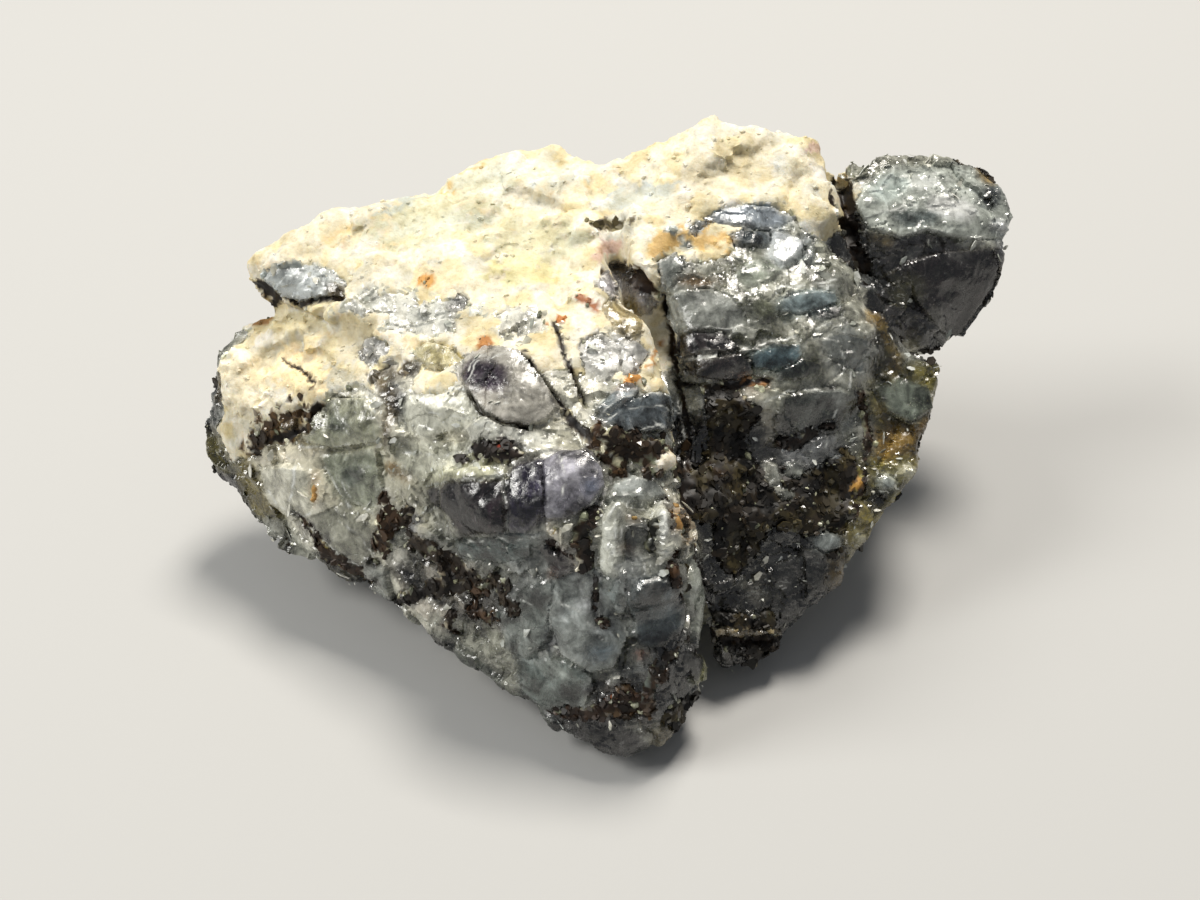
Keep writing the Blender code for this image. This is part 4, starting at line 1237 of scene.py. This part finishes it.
def pick(random, candidates, count):
    """Some of the candidates, chosen at random."""
    return random.choice(candidates, size=min(count, len(candidates)), replace=False)


def random_sizes(random, count, least, more, rarity=3):
    """Sizes from the least up to so much more, most of them small."""
    return least + more * random.random((count, 1)) ** rarity


def uneven(random, count, least, more):
    """For each piece three factors that make it longer, wider or thicker than its shape."""
    return least + more * random.random((count, 3))


def hues(random, hexes, count, spread):
    """A random colour of a palette for each of so many pieces, made lighter or darker by the spread."""
    palette = colour_list(hexes)
    chosen = palette[random.integers(len(palette), size=count)]
    return chosen * (1 - spread / 2 + spread * random.random((count, 1)))


def loose_pieces(body, ground, colours, stone, materials):
    """Mica flakes, grains on the crust, crumbs round the clear layer, and healed cracks inside it."""
    feldspar, cloudy, mica = materials
    random = np.random.default_rng(SEED + 30)
    points, normals = mesh_points(body), mesh_normals(body)
    kind = ground.kind
    above = points[:, 2] > LOOSE_HEIGHT
    in_crust = (kind == CRUST) | (kind == WHITE)
    share = stone.skin.on_faces(stone.layers[:, 0], ground.faces)
    flake = [flake_shape()]
    chips = [chip_shape(seed) for seed in (1, 2, 3, 4)]

    flaky = (kind == MICA) | ((kind == SMOKY) & (random.random(len(points)) < FLAKY_SMOKE))
    chosen = pick(random, np.flatnonzero(above & flaky), MICA_FLAKES)
    count = len(chosen)
    along = stone.blocks.tilts[ground.block[chosen]]
    along *= np.sign((along * normals[chosen]).sum(1))[:, None]
    leaning = normals[chosen] + FLAKE_TILT * along + FLAKE_SCATTER * random.normal(size=(count, 3))
    sizes = random_sizes(random, count, *FLAKE_SIZES) * uneven(random, count, 0.7, 0.6)
    shades = colours[chosen] * random_sizes(random, count, 0.5, 1.1, 2)
    scatter("mica_flakes", flake, points[chosen], leaning, sizes, shades, mica, random)

    chosen = pick(random, np.flatnonzero(above & in_crust), CRUST_GRAINS)
    count = len(chosen)
    sizes = random_sizes(random, count, *GRAIN_SIZES) * uneven(random, count, 0.7, 0.6)
    places = points[chosen] - GRAIN_SUNK * normals[chosen]
    leaning = random.normal(size=(count, 3))
    scatter("crust_grains", chips, places, leaning, sizes, colours[chosen], feldspar, random)

    by_the_rim = above & ~in_crust & (kind != SHADED_HOLLOW) & (share < RIM_CRUMBS)
    chosen = pick(random, np.flatnonzero(by_the_rim), CRUMBS)
    count = len(chosen)
    sizes = random_sizes(random, count, *CRUMB_SIZES) * uneven(random, count, 0.5, 1)
    pale = random.random((count, 1)) < PALE_CRUMBS
    shades = np.where(pale, hues(random, MINERALS[GLASS][-1], count, 0.6), CRUMB_LIGHT * colours[chosen])
    leaning = random.normal(size=(count, 3))
    scatter("crumbs", chips, points[chosen], leaning, sizes, shades, cloudy, random)

    chosen = pick(random, np.flatnonzero(above & IS_GLASS[kind] & (share > INSIDE_GLASS)), HEALED_CRACKS)
    count = len(chosen)
    sizes = random_sizes(random, count, *CRACK_SIZES, 4) * np.array(CRACK_SHAPE)
    places = points[chosen] + normals[chosen] * CRACK_DEPTH * (1 + random.random((count, 1)))
    leaning = normals[chosen] + CRACK_SCATTER * random.normal(size=(count, 3))
    shades = hues(random, ("#E6E8E2", "#D2D6D0", "#F2F0E6"), count, 0.3)
    scatter("healed_cracks", flake, places, leaning, sizes, shades, cloudy, random)


# Materials

CHRYSOBERYL_IOR = 1.75
FACTOR, COLOUR_A, COLOUR_B, MIXED = 0, 6, 7, 2     # a colour mix's inputs and its output
FIRST, SECOND, RESULT = 0, 1, 0                     # a sum's inputs and its output
MIX = {"data_type": "RGBA"}
MULTIPLY = {"data_type": "RGBA", "blend_type": "MULTIPLY"}


def per_mm(size):
    """The scale of a pattern whose features are that many millimetres wide, on metre coordinates."""
    return 1000.0 / size


def wire(tree, node, wires):
    """Give a node's inputs their links or their values."""
    for name, value in wires.items():
        if isinstance(value, bpy.types.NodeSocket):
            tree.links.new(value, node.inputs[name])
        else:
            node.inputs[name].default_value = value


def add(tree, kind, wires=None, stops=(), **settings):
    """Add a shader node with its settings, what goes into it, and a ramp's stops."""
    made = tree.nodes.new("ShaderNode" + kind)
    for name, value in settings.items():
        setattr(made, name, value)
    wire(tree, made, wires or {})
    if stops:
        elements = made.color_ramp.elements
        while len(elements) < len(stops):
            elements.new(0.5)
        for element, (place, colour) in zip(elements, stops):
            element.position = place
            element.color = linear(colour)
    return made


def between(low, high, start, end):
    """The settings of a range that is mapped from low and high to a start and an end."""
    return {"From Min": low, "From Max": high, "To Min": start, "To Max": end}


def new_material(name):
    """A material with its node tree and its shader."""
    material = bpy.data.materials.new(name)
    material.use_nodes = True
    tree = material.node_tree
    return material, tree, tree.nodes["Principled BSDF"]


def stone_material(name):
    """A material of the stone, with its node tree, its shader, the place on the stone and the tint there."""
    material, tree, shader = new_material(name)
    spot = add(tree, "TexCoord").outputs["Object"]
    tint = add(tree, "Attribute", attribute_name="tint").outputs["Color"]
    return material, tree, shader, spot, tint


def weathered_feldspar():
    """Feldspar and quartz rotted by weather: chalky, sugary, cream, with rust between the grains."""
    material, tree, shader, spot, tint = stone_material("weathered_feldspar")
    cloud = add(tree, "TexNoise", {"Vector": spot, "Scale": per_mm(1.6), "Detail": 6, "Roughness": 0.65})
    shade = add(tree, "ValToRGB", {"Fac": cloud.outputs["Fac"]},
                ((0.30, "#CDBE92"), (0.46, "#F2EBD6"), (0.62, "#FFFFFF")))
    tinted = add(tree, "Mix", {FACTOR: 0.75, COLOUR_A: tint, COLOUR_B: shade.outputs["Color"]}, **MULTIPLY)
    sugar = add(tree, "TexNoise", {"Vector": spot, "Scale": per_mm(0.32), "Detail": 4, "Roughness": 0.7})
    speck = add(tree, "ValToRGB", {"Fac": sugar.outputs["Fac"]},
                ((0.32, "#9C9276"), (0.44, "#E6E0CC"), (0.60, "#FFFFFF")))
    speckled = add(tree, "Mix", {FACTOR: 0.4, COLOUR_A: tinted.outputs[MIXED],
                                 COLOUR_B: speck.outputs["Color"]}, **MULTIPLY)
    rust = add(tree, "TexNoise", {"Vector": spot, "Scale": per_mm(3.4), "Detail": 8, "Roughness": 0.75})
    rusty = add(tree, "MapRange", {"Value": rust.outputs["Fac"], **between(0.58, 0.70, 0.0, 0.5)})
    stained = add(tree, "Mix", {FACTOR: rusty.outputs["Result"], COLOUR_A: speckled.outputs[MIXED],
                                COLOUR_B: linear("#CFA55C")}, **MIX)
    rough = add(tree, "MapRange", {"Value": sugar.outputs["Fac"], **between(0.35, 0.65, 0.42, 0.85)})
    bump = add(tree, "Bump", {"Height": sugar.outputs["Fac"], "Strength": 0.6, "Distance": 0.12 * MM})
    wire(tree, shader, {
        "Base Color": stained.outputs[MIXED], "Roughness": rough.outputs["Result"],
        "Normal": bump.outputs["Normal"], "Subsurface Weight": 0.25, "Subsurface Scale": 0.5,
        "Subsurface Radius": (0.0010, 0.0008, 0.0006)})
    return material


def cloudy_chrysoberyl():
    """Chrysoberyl under the clear crystals: milky and cracked, with white healed cracks."""
    material, tree, shader, spot, tint = stone_material("cloudy_chrysoberyl")
    vein = add(tree, "Attribute", attribute_name="vein").outputs["Fac"]
    milk = add(tree, "TexNoise", {"Vector": spot, "Scale": per_mm(1.4), "Detail": 9, "Roughness": 0.7,
                                  "Distortion": 0.8})
    depth = add(tree, "ValToRGB", {"Fac": milk.outputs["Fac"]},
                ((0.34, "#4C4E46"), (0.47, "#B4B4A8"), (0.60, "#FFFFFF")))
    base = add(tree, "Mix", {FACTOR: 0.8, COLOUR_A: tint, COLOUR_B: depth.outputs["Color"]}, **MULTIPLY)
    veined = add(tree, "Mix", {FACTOR: vein, COLOUR_A: base.outputs[MIXED], COLOUR_B: linear("#E2E4DC")},
                 **MIX)
    ripple = add(tree, "TexNoise", {"Vector": spot, "Scale": per_mm(0.6), "Detail": 3, "Roughness": 0.6})
    bump = add(tree, "Bump", {"Height": ripple.outputs["Fac"], "Strength": 0.5, "Distance": 0.12 * MM})
    wire(tree, shader, {"Base Color": veined.outputs[MIXED], "Roughness": 0.3, "IOR": CHRYSOBERYL_IOR,
                        "Normal": bump.outputs["Normal"]})
    return material


def clear_chrysoberyl():
    """Chrysoberyl crystals: glassy and see-through where sound, milky along their healed cracks."""
    material, tree, shader, spot, tint = stone_material("clear_chrysoberyl")
    vein = add(tree, "Attribute", attribute_name="vein").outputs["Fac"]
    milk = add(tree, "Attribute", attribute_name="milk").outputs["Fac"]

    # Thin healed cracks run where a noise is halfway, and break off where another one is low
    cloud = add(tree, "TexNoise", {"Vector": spot, "Scale": per_mm(1.1), "Detail": 8, "Roughness": 0.68,
                                   "Distortion": 0.7})
    streak = add(tree, "TexNoise", {"Vector": spot, "Scale": per_mm(2.6), "Detail": 5, "Roughness": 0.6,
                                    "Distortion": 1.4})
    off_line = add(tree, "Math", {FIRST: streak.outputs["Fac"], SECOND: 0.5}, operation="SUBTRACT")
    line_gap = add(tree, "Math", {FIRST: off_line.outputs[RESULT]}, operation="ABSOLUTE")
    veil = add(tree, "MapRange", {"Value": line_gap.outputs[RESULT], **between(0.001, 0.007, 0.6, 0.0)})
    clouded = add(tree, "MapRange", {"Value": cloud.outputs["Fac"], **between(0.48, 0.58, 0.0, 1.0)})
    broken = add(tree, "Math", {FIRST: veil.outputs["Result"], SECOND: clouded.outputs["Result"]},
                 operation="MULTIPLY")
    lines = add(tree, "Math", {FIRST: broken.outputs[RESULT], SECOND: vein}, operation="MAXIMUM")

    shade = add(tree, "ValToRGB", {"Fac": cloud.outputs["Fac"]},
                ((0.32, "#8C8C88"), (0.50, "#DADAD6"), (0.64, "#FFFFFF")))
    base = add(tree, "Mix", {FACTOR: 0.7, COLOUR_A: tint, COLOUR_B: shade.outputs["Color"]}, **MULTIPLY)
    veined = add(tree, "Mix", {FACTOR: lines.outputs[RESULT], COLOUR_A: base.outputs[MIXED],
                               COLOUR_B: linear("#E8EAE4")}, **MIX)

    # The milkier the glass, the less light goes through it
    offset = add(tree, "Math", {FIRST: cloud.outputs["Fac"], SECOND: 0.5}, operation="SUBTRACT")
    swing = add(tree, "Math", {FIRST: offset.outputs[RESULT], SECOND: 2.2}, operation="MULTIPLY")
    milky = add(tree, "Math", {FIRST: swing.outputs[RESULT], SECOND: milk}, operation="ADD")
    all_milk = add(tree, "Math", {FIRST: milky.outputs[RESULT], SECOND: lines.outputs[RESULT]},
                   operation="MAXIMUM")
    clear = add(tree, "MapRange", {"Value": all_milk.outputs[RESULT], **between(0.0, 1.0, 0.97, 0.1)})

    fine = add(tree, "TexNoise", {"Vector": spot, "Scale": per_mm(0.35), "Detail": 4, "Roughness": 0.65})
    rough = add(tree, "MapRange", {"Value": fine.outputs["Fac"], **between(0.40, 0.62, 0.06, 0.4)})
    bump = add(tree, "Bump", {"Height": fine.outputs["Fac"], "Strength": 0.4, "Distance": 0.1 * MM})
    wire(tree, shader, {
        "Base Color": veined.outputs[MIXED], "Transmission Weight": clear.outputs["Result"],
        "Roughness": rough.outputs["Result"], "IOR": CHRYSOBERYL_IOR, "Normal": bump.outputs["Normal"]})
    return material


def dark_mica():
    """Phlogopite mica in sheets: dark brown, with a bronze sheen painted on, each sheet's colour lighter or
    darker at random.
    """
    material, tree, shader, spot, tint = stone_material("dark_mica")
    sheets = add(tree, "TexVoronoi", {"Vector": spot, "Scale": per_mm(0.5)})
    # Painted sheen: each sheet's colour is made lighter or darker at random, to stand in for the light it
    # catches
    shade = add(tree, "ValToRGB", {"Fac": sheets.outputs["Color"]},
                ((0.15, "#6A6056"), (0.6, "#BAB0A2"), (0.95, "#FFFFFF")))
    base = add(tree, "Mix", {FACTOR: 0.9, COLOUR_A: tint, COLOUR_B: shade.outputs["Color"]}, **MULTIPLY)
    bump = add(tree, "Bump", {"Height": sheets.outputs["Color"], "Strength": 0.9, "Distance": 0.15 * MM})
    wire(tree, shader, {"Base Color": base.outputs[MIXED], "Roughness": 0.5, "Specular IOR Level": 0.35,
                        "Normal": bump.outputs["Normal"]})
    return material


# Camera, floor and light

KEY_PLACE, KEY_SIZE, KEY_POWER = (0.07, 0.17, 0.38), 0.12, 2.02
SIDE_PLACE, SIDE_SIZE, SIDE_POWER = (-0.30, -0.02, 0.28), 0.16, 1.15
LIGHT_TARGET = (0, 0, 0.01)
SURROUNDINGS_STRENGTH = 0.25


def camera():
    """The photograph's camera."""
    bpy.ops.object.camera_add(location=Vector(CAMERA_SPOT) * MM)
    seen = bpy.context.object
    seen.name = "photo_camera"
    seen.rotation_euler = Vector(CAMERA_AHEAD).to_track_quat("-Z", "Y").to_euler()
    seen.data.lens = LENS
    seen.data.sensor_width = FILM_WIDTH
    seen.data.clip_start = MM
    bpy.context.scene.camera = seen


def floor():
    """A plain pale floor."""
    deselect()
    bpy.ops.mesh.primitive_plane_add(size=3.0, location=(0, 0, 0))
    ground = bpy.context.object
    ground.name = "floor"
    material, tree, shader = new_material("plain_floor")
    wire(tree, shader, {"Base Color": linear("#B4B4B2"), "Roughness": 0.8})
    ground.data.materials.append(material)


def soft_light(name, place, size, power, colour):
    """A square soft light that faces the stone."""
    bpy.ops.object.light_add(type="AREA", location=place)
    light = bpy.context.object
    light.name = name
    light.data.shape = "SQUARE"
    light.data.size = size
    light.data.energy = power
    light.data.color = linear(colour)[:3]
    light.rotation_euler = (Vector(place) - Vector(LIGHT_TARGET)).to_track_quat("Z", "Y").to_euler()


def studio():
    """The light: a key from above and behind on the right, a weaker one on the left, and a soft sky."""
    soft_light("key_light", KEY_PLACE, KEY_SIZE, KEY_POWER, "#FFF9F0")
    soft_light("side_light", SIDE_PLACE, SIDE_SIZE, SIDE_POWER, "#FFFDF8")
    world = bpy.data.worlds.new("soft_surroundings")
    bpy.context.scene.world = world
    world.use_nodes = True
    wire(world.node_tree, world.node_tree.nodes["Background"],
         {"Color": linear("#E8ECF2"), "Strength": SURROUNDINGS_STRENGTH})
    bpy.context.scene.view_settings.view_transform = "Standard"


def build():
    """Build the stone: its body, its crystals and what lies loose on it."""
    body = broad_shape()
    stone = Stone(Skin(body))
    break_skin(body, stone)
    rocks = weathered_feldspar(), cloudy_chrysoberyl(), dark_mica()     # in the order of the slots
    for material in rocks:
        body.data.materials.append(material)
    ground, colours = paint_body(body, stone)
    take(body)
    bpy.ops.object.shade_smooth_by_angle(angle=SKIN_SHARP)
    carry(body)
    loose_pieces(body, ground, colours, stone, rocks)
    clear_layers(stone, clear_chrysoberyl())


camera()
floor()
studio()
build()
